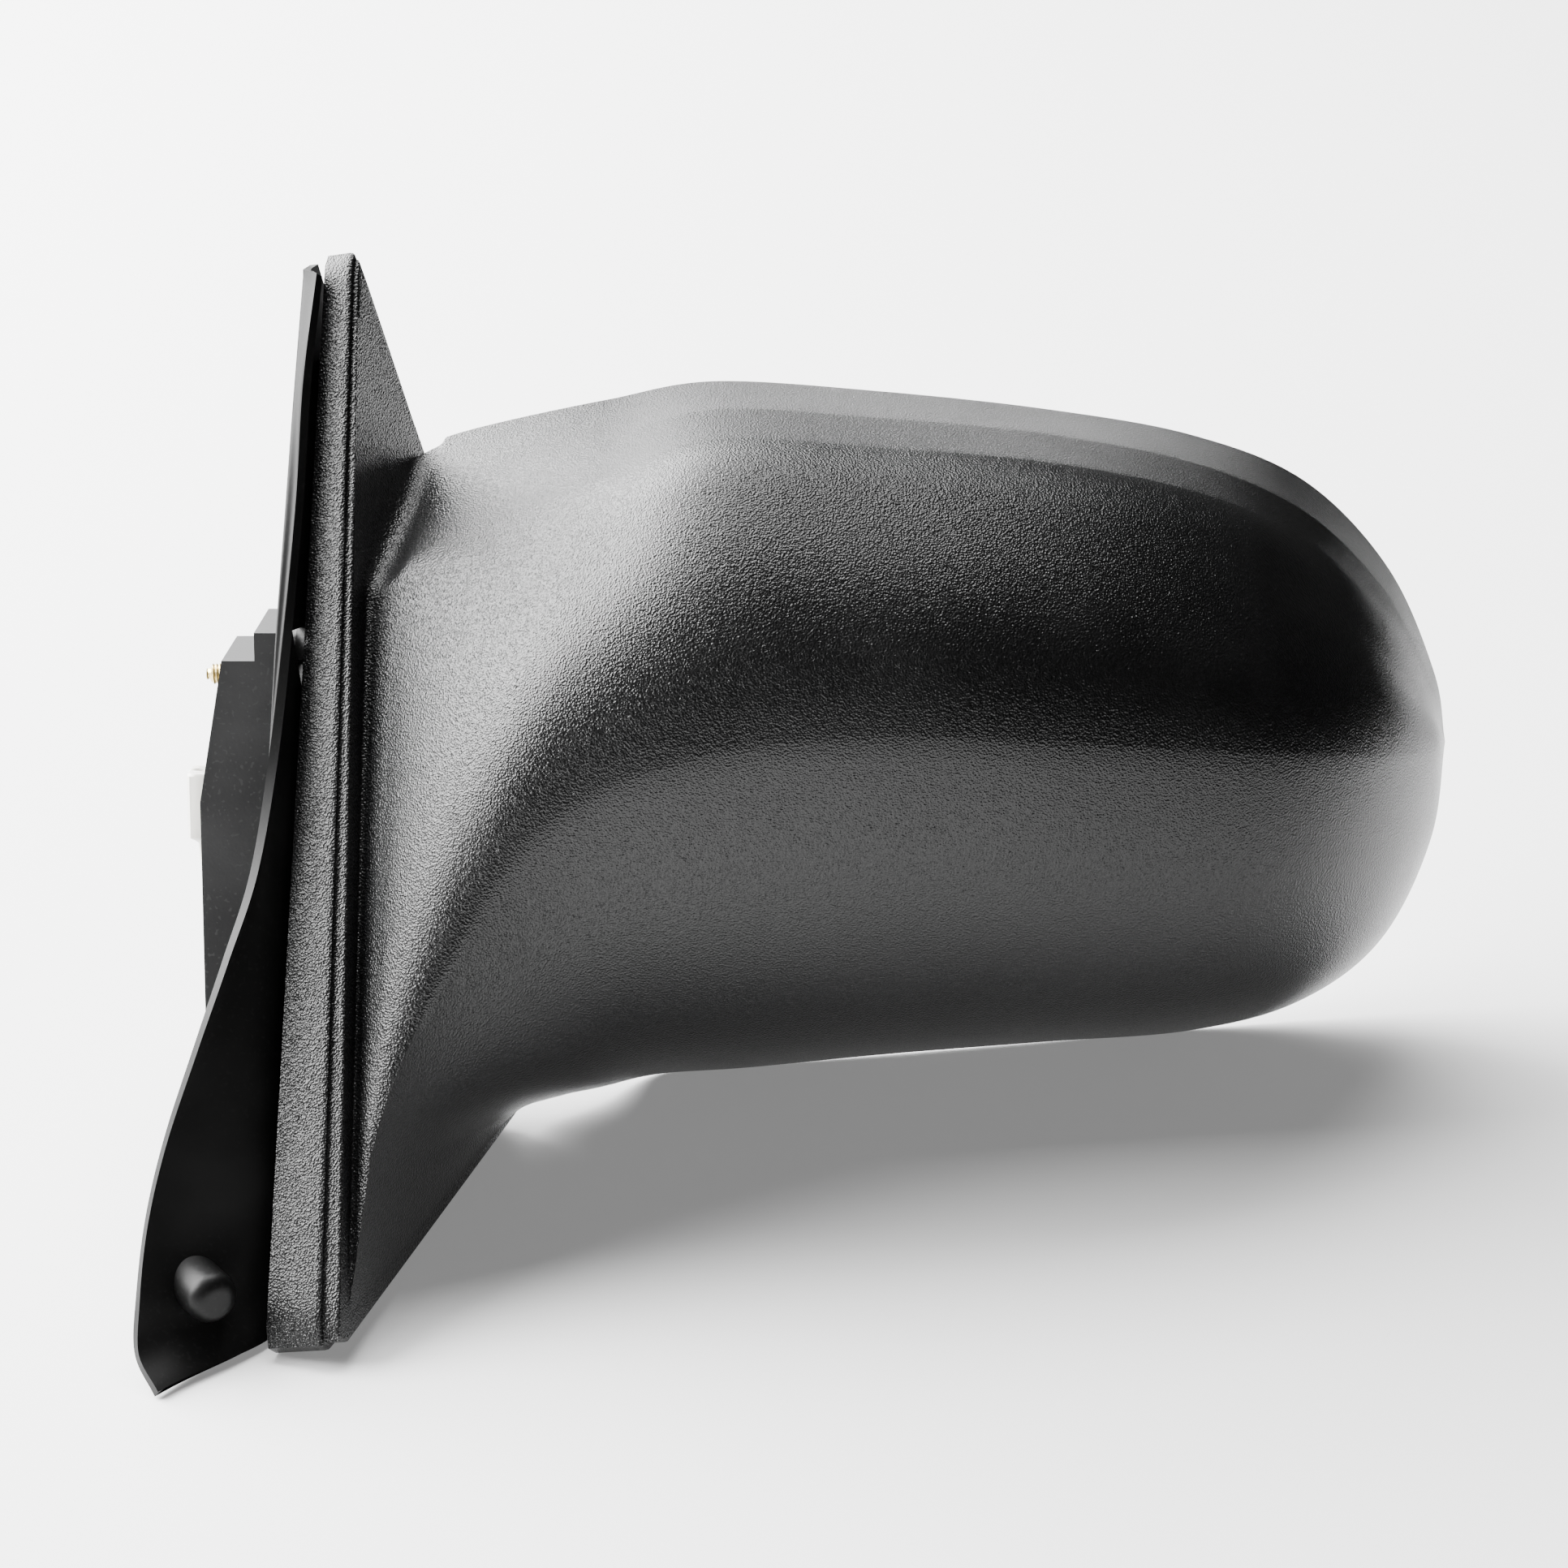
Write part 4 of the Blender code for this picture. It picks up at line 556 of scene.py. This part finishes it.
def section(bottom: np.ndarray, lower: np.ndarray, upper: np.ndarray, middle: np.ndarray,
            top: np.ndarray, form: float, counts: Sequence) -> np.ndarray:
    """One closed loop of the neck or head through its feature points.

    form goes from 0, straight stretches, at the sail to 1, the head's full curves.
    """
    n_low, n_front, n_fore, n_aft, n_rear = counts
    reach = np.linalg.norm(lower - bottom)
    pull_a = bottom + reach * 0.48 * np.array([0, -0.97, 0.2])
    pull_b = lower + reach * 0.42 * np.array([0, 0.22, -0.97])
    third_a, third_b = bottom + (lower - bottom) / 3, lower + (bottom - lower) / 3
    belly = bezier(bottom, third_a + form * (pull_a - third_a), third_b + form * (pull_b - third_b),
                   lower, np.linspace(0, 1, n_low + 1)[:-1])
    reach = np.linalg.norm(upper - lower)
    pull_a = lower + reach * 0.40 * np.array([0, 0.03, 1.0])
    pull_b = upper + reach * 0.36 * np.array([0, -0.74, -0.67])
    third_a, third_b = lower + (upper - lower) / 3, upper + (lower - upper) / 3
    trim = min(CREASE_ROUND, 0.3 * np.linalg.norm(top - upper)) * form
    share = trim / max(reach, 1e-6)
    face = bezier(lower, third_a + form * (pull_a - third_a), third_b + form * (pull_b - third_b),
                  upper, np.linspace(0, 1 - share, n_front + 1)[:-1])
    crown = middle + form * np.array([0, 0, 0.012 * np.linalg.norm(top - upper)])
    roof = upper + (middle - upper) * (trim / max(np.linalg.norm(middle - upper), 1e-6))
    end = bezier(lower, third_a + form * (pull_a - third_a), third_b + form * (pull_b - third_b),
                 upper, np.array([1 - share]))[0]
    round_count = 8
    fore = np.vstack([
        ((1 - s)**2 * end + 2 * (1 - s) * s * upper + s**2 * roof)
        for s in np.linspace(0, 1, round_count + 1)[:-1]]
        + [roof + (crown - roof) * s for s in np.linspace(0, 1, n_fore - round_count + 1)[:-1]])
    aft = crown + (top - crown) * np.linspace(0, 1, n_aft + 1)[:-1][:, None]
    rear = top + (bottom - top) * np.linspace(0, 1, n_rear + 1)[:-1][:, None]
    return np.vstack([belly, face, fore, aft, rear])


def smooth(x: float) -> float:
    """Share that eases out of 0 and into 1."""
    x = min(max(x, 0.0), 1.0)
    return x * x * (3 - 2 * x)


def rim_rows(gap: float, beyond: float) -> list:
    """Loops of the sail's rim, ledge and raised face, from the mounting edge outboard.

    gap makes them the inside of a wall of that thickness, and beyond runs the first loop past
    the mounting edge.
    """
    n = np.array(sail_normal())
    edge = sail_loop(gap, LOOP_COUNTS)
    ledge = sail_loop(gap + STEP_INSET, LOOP_COUNTS)
    depth = np.array([rim_depth(z) for z in edge[:, 1]])[:, None]
    raised = np.array([step_height(z) for z in ledge[:, 1]])[:, None]
    top = np.array([[sail_x(y, z, -gap), y, z] for y, z in edge])
    mouth = np.array([[sail_x(y, z), y, z] for y, z in edge]) - (depth + beyond) * n
    foot = np.array([[sail_x(y, z, -gap), y, z] for y, z in ledge])
    return [mouth, (mouth + top) / 2, top, foot, foot + raised * n]


def rim_depth(z: float) -> float:
    """Depth of the sail's rim wall at that height."""
    share = height_share(z)
    return RIM_DEPTH_FRONT * (1 - share) + RIM_DEPTH_TOP * share


def head_rows(stations: int) -> list:
    """Loops of the neck and head from their root on the sail's raised face to the tip."""
    top = feature_line(REAR_TOP, ROOT_TOP, stations)
    upper = feature_line(UPPER_CREASE, ROOT_UPPER, stations)
    lower = feature_line(LOWER_CREASE, ROOT_LOWER, stations)
    bottom = feature_line(REAR_BOTTOM, ROOT_BOTTOM, stations)
    middle = (top + upper) / 2
    middle[0] = [sail_x(*ROOT_MIDDLE, step_height(ROOT_MIDDLE[1])), *ROOT_MIDDLE]
    loops = []
    for k in range(stations):
        form = smooth(k / (stations - 1) * len(REAR_TOP) / FULL_FORM)
        loops.append(section(bottom[k], lower[k], upper[k], middle[k], top[k], form, LOOP_COUNTS))
    return loops


def offset_rows(rows: np.ndarray, gap: float) -> np.ndarray:
    """The net moved in by gap along its own normals."""
    grid = np.array(rows)
    ahead = np.roll(grid, -1, axis=1) - grid
    ahead /= np.maximum(np.linalg.norm(ahead, axis=2, keepdims=True), 1e-9)
    around = ahead + np.roll(ahead, 1, axis=1)
    along = np.gradient(grid, axis=0)
    normal = np.cross(around, along)
    normal /= np.maximum(np.linalg.norm(normal, axis=2, keepdims=True), 1e-9)
    centre = grid.mean(axis=1, keepdims=True)
    outward = np.sign(np.sum(normal * (grid - centre), axis=(1, 2)))[:, None, None]
    return grid - gap * normal * np.sign(outward.sum())


def throat_loop() -> np.ndarray:
    """Loop of the cavity where it passes from the sail's face into the neck."""
    n = np.array(sail_normal())
    root = head_rows(2)[0]
    face = rim_rows(0.0, 0.0)[-1]
    rear = sum(LOOP_COUNTS[:4])
    root[rear:] = face[rear:] - np.array([0, REAR_LEDGE, 0])
    inward = root.mean(axis=0) - root
    inward /= np.linalg.norm(inward, axis=1, keepdims=True)
    reach = np.full((len(root), 1), THROAT_INSET)
    reach[rear:] = THROAT_REAR
    return root + reach * inward - WALL * n


def sail_point(spot: Sequence, level: float) -> Vector:
    """Point of the sail's plane at (y, z), moved along its normal by level."""
    return Vector((sail_x(*spot), *spot)) + sail_normal() * level


def window_levels() -> list:
    """The glass opening, then the pocket behind it, as outlines with their depths."""
    full = rounded_outline(OPENING, CORNER_STEPS)
    deep = rounded_outline(inset(OPENING, POCKET_INSET), CORNER_STEPS)
    return [(deep, PIVOT_DEPTH - POCKET_DEPTH), (full, PIVOT_DEPTH - WALL - 1), (full, PIVOT_DEPTH + 12)]


def rear_edge_point(share: float) -> np.ndarray:
    """Point of the gasket's rear edge, share of the way from its bottom to its top."""
    corners = np.array([c[:2] for c in sail_corners()])
    ys, zs = corners[[4, 3, 2, 1], 0], corners[[4, 3, 2, 1], 1]
    z = zs[0] + (zs[-1] - 5 - zs[0]) * share
    y = np.interp(z, zs, ys) - sail_normal().y * rim_depth(z) - GASKET_REAR
    return gasket_plane(y, z)


def gasket_plane(y: float, z: float) -> np.ndarray:
    """Point of the gasket's flat part, on its inboard face."""
    return np.array([sail_x(y, z, -rim_depth(z) - GASKET_LEVEL - GASKET_T), y, z])


def seam_loops(rows: np.ndarray, corner: int, radius: float) -> np.ndarray:
    """Replaces one loop of a net, a hard edge, with three that round it by the radius."""
    here, before, after = rows[corner], rows[corner - 1], rows[corner + 1]
    back, ahead = before - here, after - here
    back *= radius / np.maximum(np.linalg.norm(back, axis=1, keepdims=True), radius * 1.5)
    ahead *= radius / np.maximum(np.linalg.norm(ahead, axis=1, keepdims=True), radius * 1.5)
    bend = here + 0.3 * (back + ahead)
    return np.concatenate([rows[:corner], [here + back, bend, here + ahead], rows[corner + 1:]])


@dataclass
class HousingSkin:
    """Sail, neck and head as one moulding: outer form less its cavity and the glass window.

    Attributes:
        edge: rounding of the rim's outer edge, in mm.
        foot: hollow rounding at the foot of the raised face, in mm.
    """

    edge: float = 1.1
    foot: float = 0.7
    finish: Finish = BLACK
    pieces: list = field(default_factory=list)

    def build(self) -> None:
        """Lays the skin's loops from the rim to the tip and cuts the hollow out of it."""
        rows, loops = self.form()
        outer = seam_loops(rows[:-1], 4, self.foot)
        outer = seam_loops(outer, 3, self.foot)
        outer = seam_loops(outer, 2, self.edge)
        skin = grid_object("housing_skin", outer, car_matrix(), around=True,
                           caps=(rows[0].mean(axis=0), rows[-1].mean(axis=0)), sharp=50.0)
        carve(skin, self.cavity(loops))
        window = window_levels()
        levels = np.array([[(p[0], depth, p[1]) for p in outline] for outline, depth in window])
        carve(skin, grid_object("window", levels, mirror_matrix(), around=True,
                                caps=(levels[0].mean(axis=0), levels[-1].mean(axis=0))))
        for spot in HOUSING_SCREWS:
            low, high = sail_point(spot, BASE_LEVEL + FIT), sail_point(spot, 0.5)
            post = turned("post", [(0, POST_R), ((high - low).length, POST_R)], high - low, low,
                          car_matrix())
            carve(skin, post, "UNION")
        skin.data.set_sharp_from_angle(angle=radians(50))
        self.pieces = [skin]

    def form(self) -> tuple:
        """All loops of the outer form, and those of neck and head alone.

        The raised face runs in from its edge part of the way to the root. From there a
        quadratic Bezier curve, with the root as its middle point, leads on to the neck.
        """
        rim, loops = rim_rows(0.0, 0.0), head_rows(STATIONS)
        face, root, first = rim[-1], loops[0], loops[FILLET_END]
        rear = sum(LOOP_COUNTS[:4])
        root[rear:] = face[rear:] - np.array([0, REAR_LEDGE, 0])
        flat = [face + (root - face) * s for s in np.linspace(0, FILLET_START, 9)[1:]]
        steps = np.linspace(0, 1, 20)[1:]
        fillet = [(1 - s)**2 * flat[-1] + 2 * s * (1 - s) * root + s * s * first for s in steps]
        return np.array(rim + flat + fillet + loops[FILLET_END + 1:]), np.array(loops)

    def cavity(self, loops: np.ndarray) -> bpy.types.Object:
        """Inside of the wall: the rim's inner face, the throat, then the head's inner face."""
        head = offset_rows(loops[ROOT_SOLID:-END_SOLID], WALL)
        inner = np.concatenate([rim_rows(WALL, 5.0), [throat_loop()], head])
        tip = inner[-1].mean(axis=0) + np.array([TIP_REACH, 0, 0])
        return grid_object("cavity", inner, car_matrix(), around=True, caps=(inner[0].mean(axis=0), tip))

    def dress(self) -> None:
        """Gives the moulding its grained black finish."""
        dress(self.pieces[0], self.finish, "fixed_head", "housing_shell")


@dataclass
class GasketSheet:
    """Soft backing plate: a flared sheet with its window, cable hole and peg."""

    rows: int = 150
    across: int = 40
    finish: Finish = RUBBER
    pieces: list = field(default_factory=list)

    def surface(self) -> np.ndarray:
        """Inboard surface: each row bends in from the flared front edge, then runs straight back.

        A row starts on the front edge, follows a cubic Bezier curve to the bend and a straight
        line from there to the rear edge. The rows climb from the bottom corner to the top.
        """
        front = spline(GASKET_EDGE, self.rows)
        flare = spline(np.array(GASKET_FLARE, float)[:, None], self.rows)[:, 0]
        made = []
        for k, start in enumerate(front):
            end = rear_edge_point(k / (self.rows - 1))
            way = end[1:] - start[1:]
            share = min(flare[k] / np.linalg.norm(way), 0.45)
            bend = gasket_plane(*(start[1:] + way * share))
            soft = bezier(start, start + (bend - start) * 0.5, bend - (end - bend) * 0.12, bend,
                          np.linspace(0, 1, self.across // 2))
            straight = bend + (end - bend) * np.linspace(0, 1, self.across // 2)[1:, None]
            made.append(np.vstack([soft, straight]))
        return np.array(made)

    def build(self) -> None:
        """Makes the sheet, cuts its holes and adds the peg."""
        inboard = self.surface()
        down = np.cross(np.gradient(inboard, axis=1), np.gradient(inboard, axis=0))
        down /= np.maximum(np.linalg.norm(down, axis=2, keepdims=True), 1e-9)
        outboard = inboard + GASKET_T * down * np.sign(down[..., 0].sum())
        loop = np.concatenate([inboard, outboard[:, ::-1]], axis=1)
        sheet = grid_object("gasket_sheet", loop, car_matrix(), around=True,
                            caps=(loop[0].mean(axis=0), loop[-1].mean(axis=0)), sharp=35.0)
        (y0, y1), (z0, z1) = BOSS_Y, BOSS_Z
        g = WINDOW_GAP
        window = [(y0 - g, z0 - g), (y1 + g, z0 - g), (y1 + g, z1 + g), (y0 - g, z1 + g)]
        ring = np.array([[(x, y, z) for y, z in window] for x in (-3.0, 60.0)])
        carve(sheet, grid_object("boss_window", ring, car_matrix(), around=True,
                                 caps=(ring[0].mean(axis=0), ring[1].mean(axis=0))))
        low, high = sail_point(CABLE_HOLE, -30), sail_point(CABLE_HOLE, 0)
        carve(sheet, turned("cable_hole", [(0, CABLE_CLEAR), (30, CABLE_CLEAR)], high - low, low,
                            car_matrix()))
        sheet.data.set_sharp_from_angle(angle=radians(35))
        foot, tip = Vector(PEG_FOOT), Vector(PEG_TIP)
        reach = (tip - foot).length
        turn = np.linspace(0, pi / 2, 8)
        dome = [(reach + 3.0 * sin(a), PEG_R - 3.0 * (1 - cos(a))) for a in turn]
        peg = turned("gasket_peg", [(0, PEG_R)] + dome + [(reach + 3.0, 0.01)], tip - foot, foot,
                     car_matrix())
        self.pieces = [sheet, peg]

    def dress(self) -> None:
        """Gives sheet and peg the glossy soft black finish."""
        dress(self.pieces[0], self.finish, "fixed_head", "base_gasket")
        for piece in self.pieces[1:]:
            dress(piece, self.finish, "fixed_head")


@dataclass
class WallStrips:
    """Upstanding strips of the base's wall that show between gasket and rim along the front edge.

    Attributes:
        spans: shares of the way from the front corner to the top that each strip covers.
        gap: how far inside the rim's outline a strip stands, and thick its thickness, in mm.
    """

    spans: tuple = ((0.33, 0.63), (0.635, 0.69), (0.695, 0.75), (0.755, 0.93))
    gap: float = 3.1
    thick: float = 1.4
    finish: Finish = GREY
    pieces: list = field(default_factory=list)

    def build(self) -> None:
        """Straight strips from inside the rim's mouth to the back of the gasket."""
        n = np.array(sail_normal())
        corners = inset(sail_corners(), self.gap)
        low, high = np.array(corners[0][:2]), np.array(corners[1][:2])
        across = np.array([-(high - low)[1], (high - low)[0]])
        across /= -np.linalg.norm(across)
        self.pieces = []
        for number, (start, end) in enumerate(self.spans, 1):
            rows = []
            for share in np.linspace(start, end, 12):
                spots = [low + (high - low) * share + across * t for t in (0.0, self.thick)]
                depth = rim_depth(spots[0][1])
                loop = [np.array([sail_x(*spots[0]), *spots[0]]) - (depth - 2.0) * n,
                        np.array([sail_x(*spots[0]), *spots[0]]) - (depth + self.reach(share)) * n,
                        np.array([sail_x(*spots[1]), *spots[1]]) - (depth + self.reach(share)) * n,
                        np.array([sail_x(*spots[1]), *spots[1]]) - (depth - 2.0) * n]
                rows.append(loop)
            points = np.array(rows)
            self.pieces.append(grid_object(f"wall_strip_{number}", points, car_matrix(), around=True,
                                           caps=(points[0].mean(axis=0), points[-1].mean(axis=0))))

    @staticmethod
    def reach(share: float) -> float:
        """Height past the rim's mouth: just short of the gasket, which stands closer at the top."""
        return 2.6 + 12.0 * max(0.0, 0.75 - share)

    def dress(self) -> None:
        """Gives the strips the base's grey."""
        for piece in self.pieces:
            dress(piece, self.finish, "fixed_head")


@dataclass
class ThreadedStud:
    """Long bracket screw that shows at the boss's top: a shank with a rolled helical thread."""

    pitch: float = 0.7
    depth: float = 0.35
    radius: float = 2.1
    finish: Finish = ZINC
    pieces: list = field(default_factory=list)

    def build(self) -> None:
        """Radius falls and rises once a pitch with height less angle over a full turn."""
        turns, sides = 22.0 / self.pitch, 36
        height = np.linspace(0, 22.0, int(turns * 8))[:, None]
        angle = np.linspace(0, 2 * pi, sides, endpoint=False)[None, :]
        wave = np.abs(((height / self.pitch - angle / (2 * pi)) % 1.0) * 2 - 1)
        taper = np.clip(height / 1.2, 0.55, 1.0)
        r = (self.radius - self.depth * wave) * taper
        points = np.stack([STUD_TIP + height + 0 * angle, STUD_Y + r * np.cos(angle),
                           STUD_Z + r * np.sin(angle)], axis=-1)
        thread = grid_object("stud_thread", points, car_matrix(), around=True,
                             caps=((STUD_TIP, STUD_Y, STUD_Z), (STUD_TIP + 22.0, STUD_Y, STUD_Z)),
                             sharp=60.0)
        shank = turned("stud_head", [(0, 1.9), (29.9, 1.9), (30, 4.0), (31.2, 3.8), (32.2, 2.8), (32.4, 0.01)],
                       (1, 0, 0), (STUD_TIP + 22.0, STUD_Y, STUD_Z), car_matrix())
        self.pieces = [thread, shank]

    def dress(self) -> None:
        """Gives the screw its yellow passivated zinc."""
        dress(self.pieces[0], self.finish, "fixed_head", "bracket_screw_1")
        dress(self.pieces[1], self.finish, "fixed_head")


@dataclass
class PlugShell:
    """Plug housing: a rounded block that narrows to its lower, wire end, with a row of chambers."""

    finish: Finish = NYLON
    pieces: list = field(default_factory=list)

    def build(self) -> None:
        """Rounded rectangles stacked up the plug, smaller at the wire end and at both rims."""
        low, high = np.array(PLUG_LOW), np.array(PLUG_HIGH)
        middle, half = (low + high) / 2, (high - low) / 2
        levels = [(low[2], 0.62), (low[2] + 0.5, 0.68), (low[2] + 5.0, 0.72), (low[2] + 6.2, 0.97),
                  (high[2] - 0.5, 0.97), (high[2], 0.91)]
        turn = np.linspace(0, 2 * pi, 48, endpoint=False)
        ring = np.stack([np.cos(turn), np.sin(turn)], axis=-1)
        squared = ring / np.maximum((np.abs(ring)**8).sum(axis=1, keepdims=True)**0.125, 1e-9)
        points = np.array([[(middle[0] + p * half[0] * s, middle[1] + q * half[1] * s, z) for p, q in squared]
                           for z, s in levels])
        shell = grid_object("plug_shell", points, car_matrix(), around=True, sharp=35.0,
                            caps=((middle[0], middle[1], low[2]), (middle[0], middle[1], high[2])))
        for place in (-0.6, 0.0, 0.6):
            way = (0, 0, 1)
            foot = (middle[0] + place * half[0], middle[1], high[2] - 6.0)
            carve(shell, turned("chamber", [(0, 1.3), (9, 1.3)], way, foot, car_matrix(), sides=24))
        self.pieces = [shell]

    def dress(self) -> None:
        """Gives the plug its milky nylon."""
        dress(self.pieces[0], self.finish, "fixed_head", "connector_body")


@dataclass
class CadParts:
    """Every other solid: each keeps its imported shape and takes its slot's finish."""

    frame: dict = field(default_factory=dict)

    def build(self) -> None:
        """Counts the solids that show."""
        log.info("%d packed solids", len(self.frame["nodes"]))

    def dress(self) -> None:
        """Puts the slot's finish on each solid."""
        for name, node in self.frame["nodes"].items():
            slot = node.data.materials[0].name.split(".")[0] if node.data.materials else ""
            finish = FINISHES.get(slot, GREY)
            node.data.materials.clear()
            node.data.materials.append(finish.build())
            log.info("%s: %s", name, finish.name)


# ------------------------------------------------------------------------------ stage
@dataclass(frozen=True)
class Softbox:
    """Area light aimed at a point: where it stands, its size, power and shape."""

    name: str
    place: tuple
    aim: tuple
    size: tuple
    power: float

    def build(self) -> bpy.types.Object:
        """Makes the light and turns it to its aim."""
        data = bpy.data.lights.new(self.name, "AREA")
        data.shape, data.size, data.size_y, data.energy = "RECTANGLE", *self.size, self.power
        made = bpy.data.objects.new(self.name, data)
        made.location = self.place
        made.rotation_euler = (Vector(self.aim) - Vector(self.place)).to_track_quat("-Z", "Y").to_euler()
        bpy.context.scene.collection.objects.link(made)
        return made


@dataclass
class Studio:
    """Pale floor, even surroundings, soft lights and the camera."""

    floor_z: float = -0.0725

    def build(self) -> None:
        """Sets the floor under the lowest point, the lights round it and the camera."""
        mesh = bpy.data.meshes.new("floor")
        half = 3.0
        mesh.from_pydata([(-half, -half, self.floor_z), (half, -half, self.floor_z),
                          (half, half, self.floor_z), (-half, half, self.floor_z)], [], [(0, 1, 2, 3)])
        floor = bpy.data.objects.new("floor", mesh)
        bpy.context.scene.collection.objects.link(floor)
        paint = bpy.data.materials.new("floor_paint")
        paint.use_nodes = True
        shader = paint.node_tree.nodes["Principled BSDF"]
        shader.inputs["Base Color"].default_value = (0.66, 0.66, 0.66, 1)
        shader.inputs["Roughness"].default_value = 0.75
        shader.inputs["Emission Color"].default_value = (1.0, 1.0, 1.0, 1)
        shader.inputs["Emission Strength"].default_value = 0.24
        mesh.materials.append(paint)
        self.flag()
        for light in LIGHTS:
            light.build()
        self.surroundings()
        self.camera()

    def flag(self) -> None:
        """Black card beyond the tip, seen by reflections alone, which keeps them dark there."""
        mesh = bpy.data.meshes.new("flag")
        x, low = 0.36, self.floor_z + 0.002
        mesh.from_pydata([(x, -0.8, low), (x, 1.3, low), (x, 1.3, low + 0.55), (x, -0.8, low + 0.55)], [],
                         [(0, 3, 2, 1)])
        card = bpy.data.objects.new("flag", mesh)
        bpy.context.scene.collection.objects.link(card)
        cloth = bpy.data.materials.new("flag_cloth")
        cloth.use_nodes = True
        shader = cloth.node_tree.nodes["Principled BSDF"]
        shader.inputs["Base Color"].default_value = (0.004, 0.004, 0.004, 1)
        shader.inputs["Roughness"].default_value = 1.0
        shader.inputs["Specular IOR Level"].default_value = 0.0
        mesh.materials.append(cloth)
        card.visible_camera = card.visible_shadow = card.visible_diffuse = False

    def surroundings(self) -> None:
        """Even pale surroundings."""
        world = bpy.data.worlds.new("surroundings")
        world.use_nodes = True
        back = world.node_tree.nodes["Background"]
        back.inputs["Color"].default_value = (1.0, 1.0, 1.0, 1)
        back.inputs["Strength"].default_value = 0.04
        bpy.context.scene.world = world

    def camera(self) -> None:
        """A long lens, looking down on the part from in front."""
        data = bpy.data.cameras.new("camera")
        data.lens, data.sensor_width = 110.6, 36.0
        made = bpy.data.objects.new("camera", data)
        made.location = (0.1137, -0.8439, 0.4169)
        aim = Vector((0.1137, 0.0109, 0.0025))
        made.rotation_euler = (aim - made.location).to_track_quat("-Z", "Y").to_euler()
        bpy.context.scene.collection.objects.link(made)
        bpy.context.scene.camera = made


LIGHTS = (
    Softbox("key_left", (-1.22, 0.42, 0.92), (0.05, 0.0, 0.0), (2.1, 1.3), 330.0),
    Softbox("overhead", (-0.05, 0.42, 1.4), (0.11, 0.0, 0.0), (1.3, 0.7), 48.0),
    Softbox("behind", (-0.7, 1.45, 0.75), (0.0, 0.0, 0.0), (1.5, 0.9), 60.0),
)


def main() -> None:
    """Builds every piece, its finish and the stage."""
    for assembly in (HousingSkin(), GasketSheet(), WallStrips(), ThreadedStud(), PlugShell()):
        assembly.build()
        assembly.dress()
    CadParts(frame).dress()
    Studio().build()


if __name__ == "__main__":
    main()
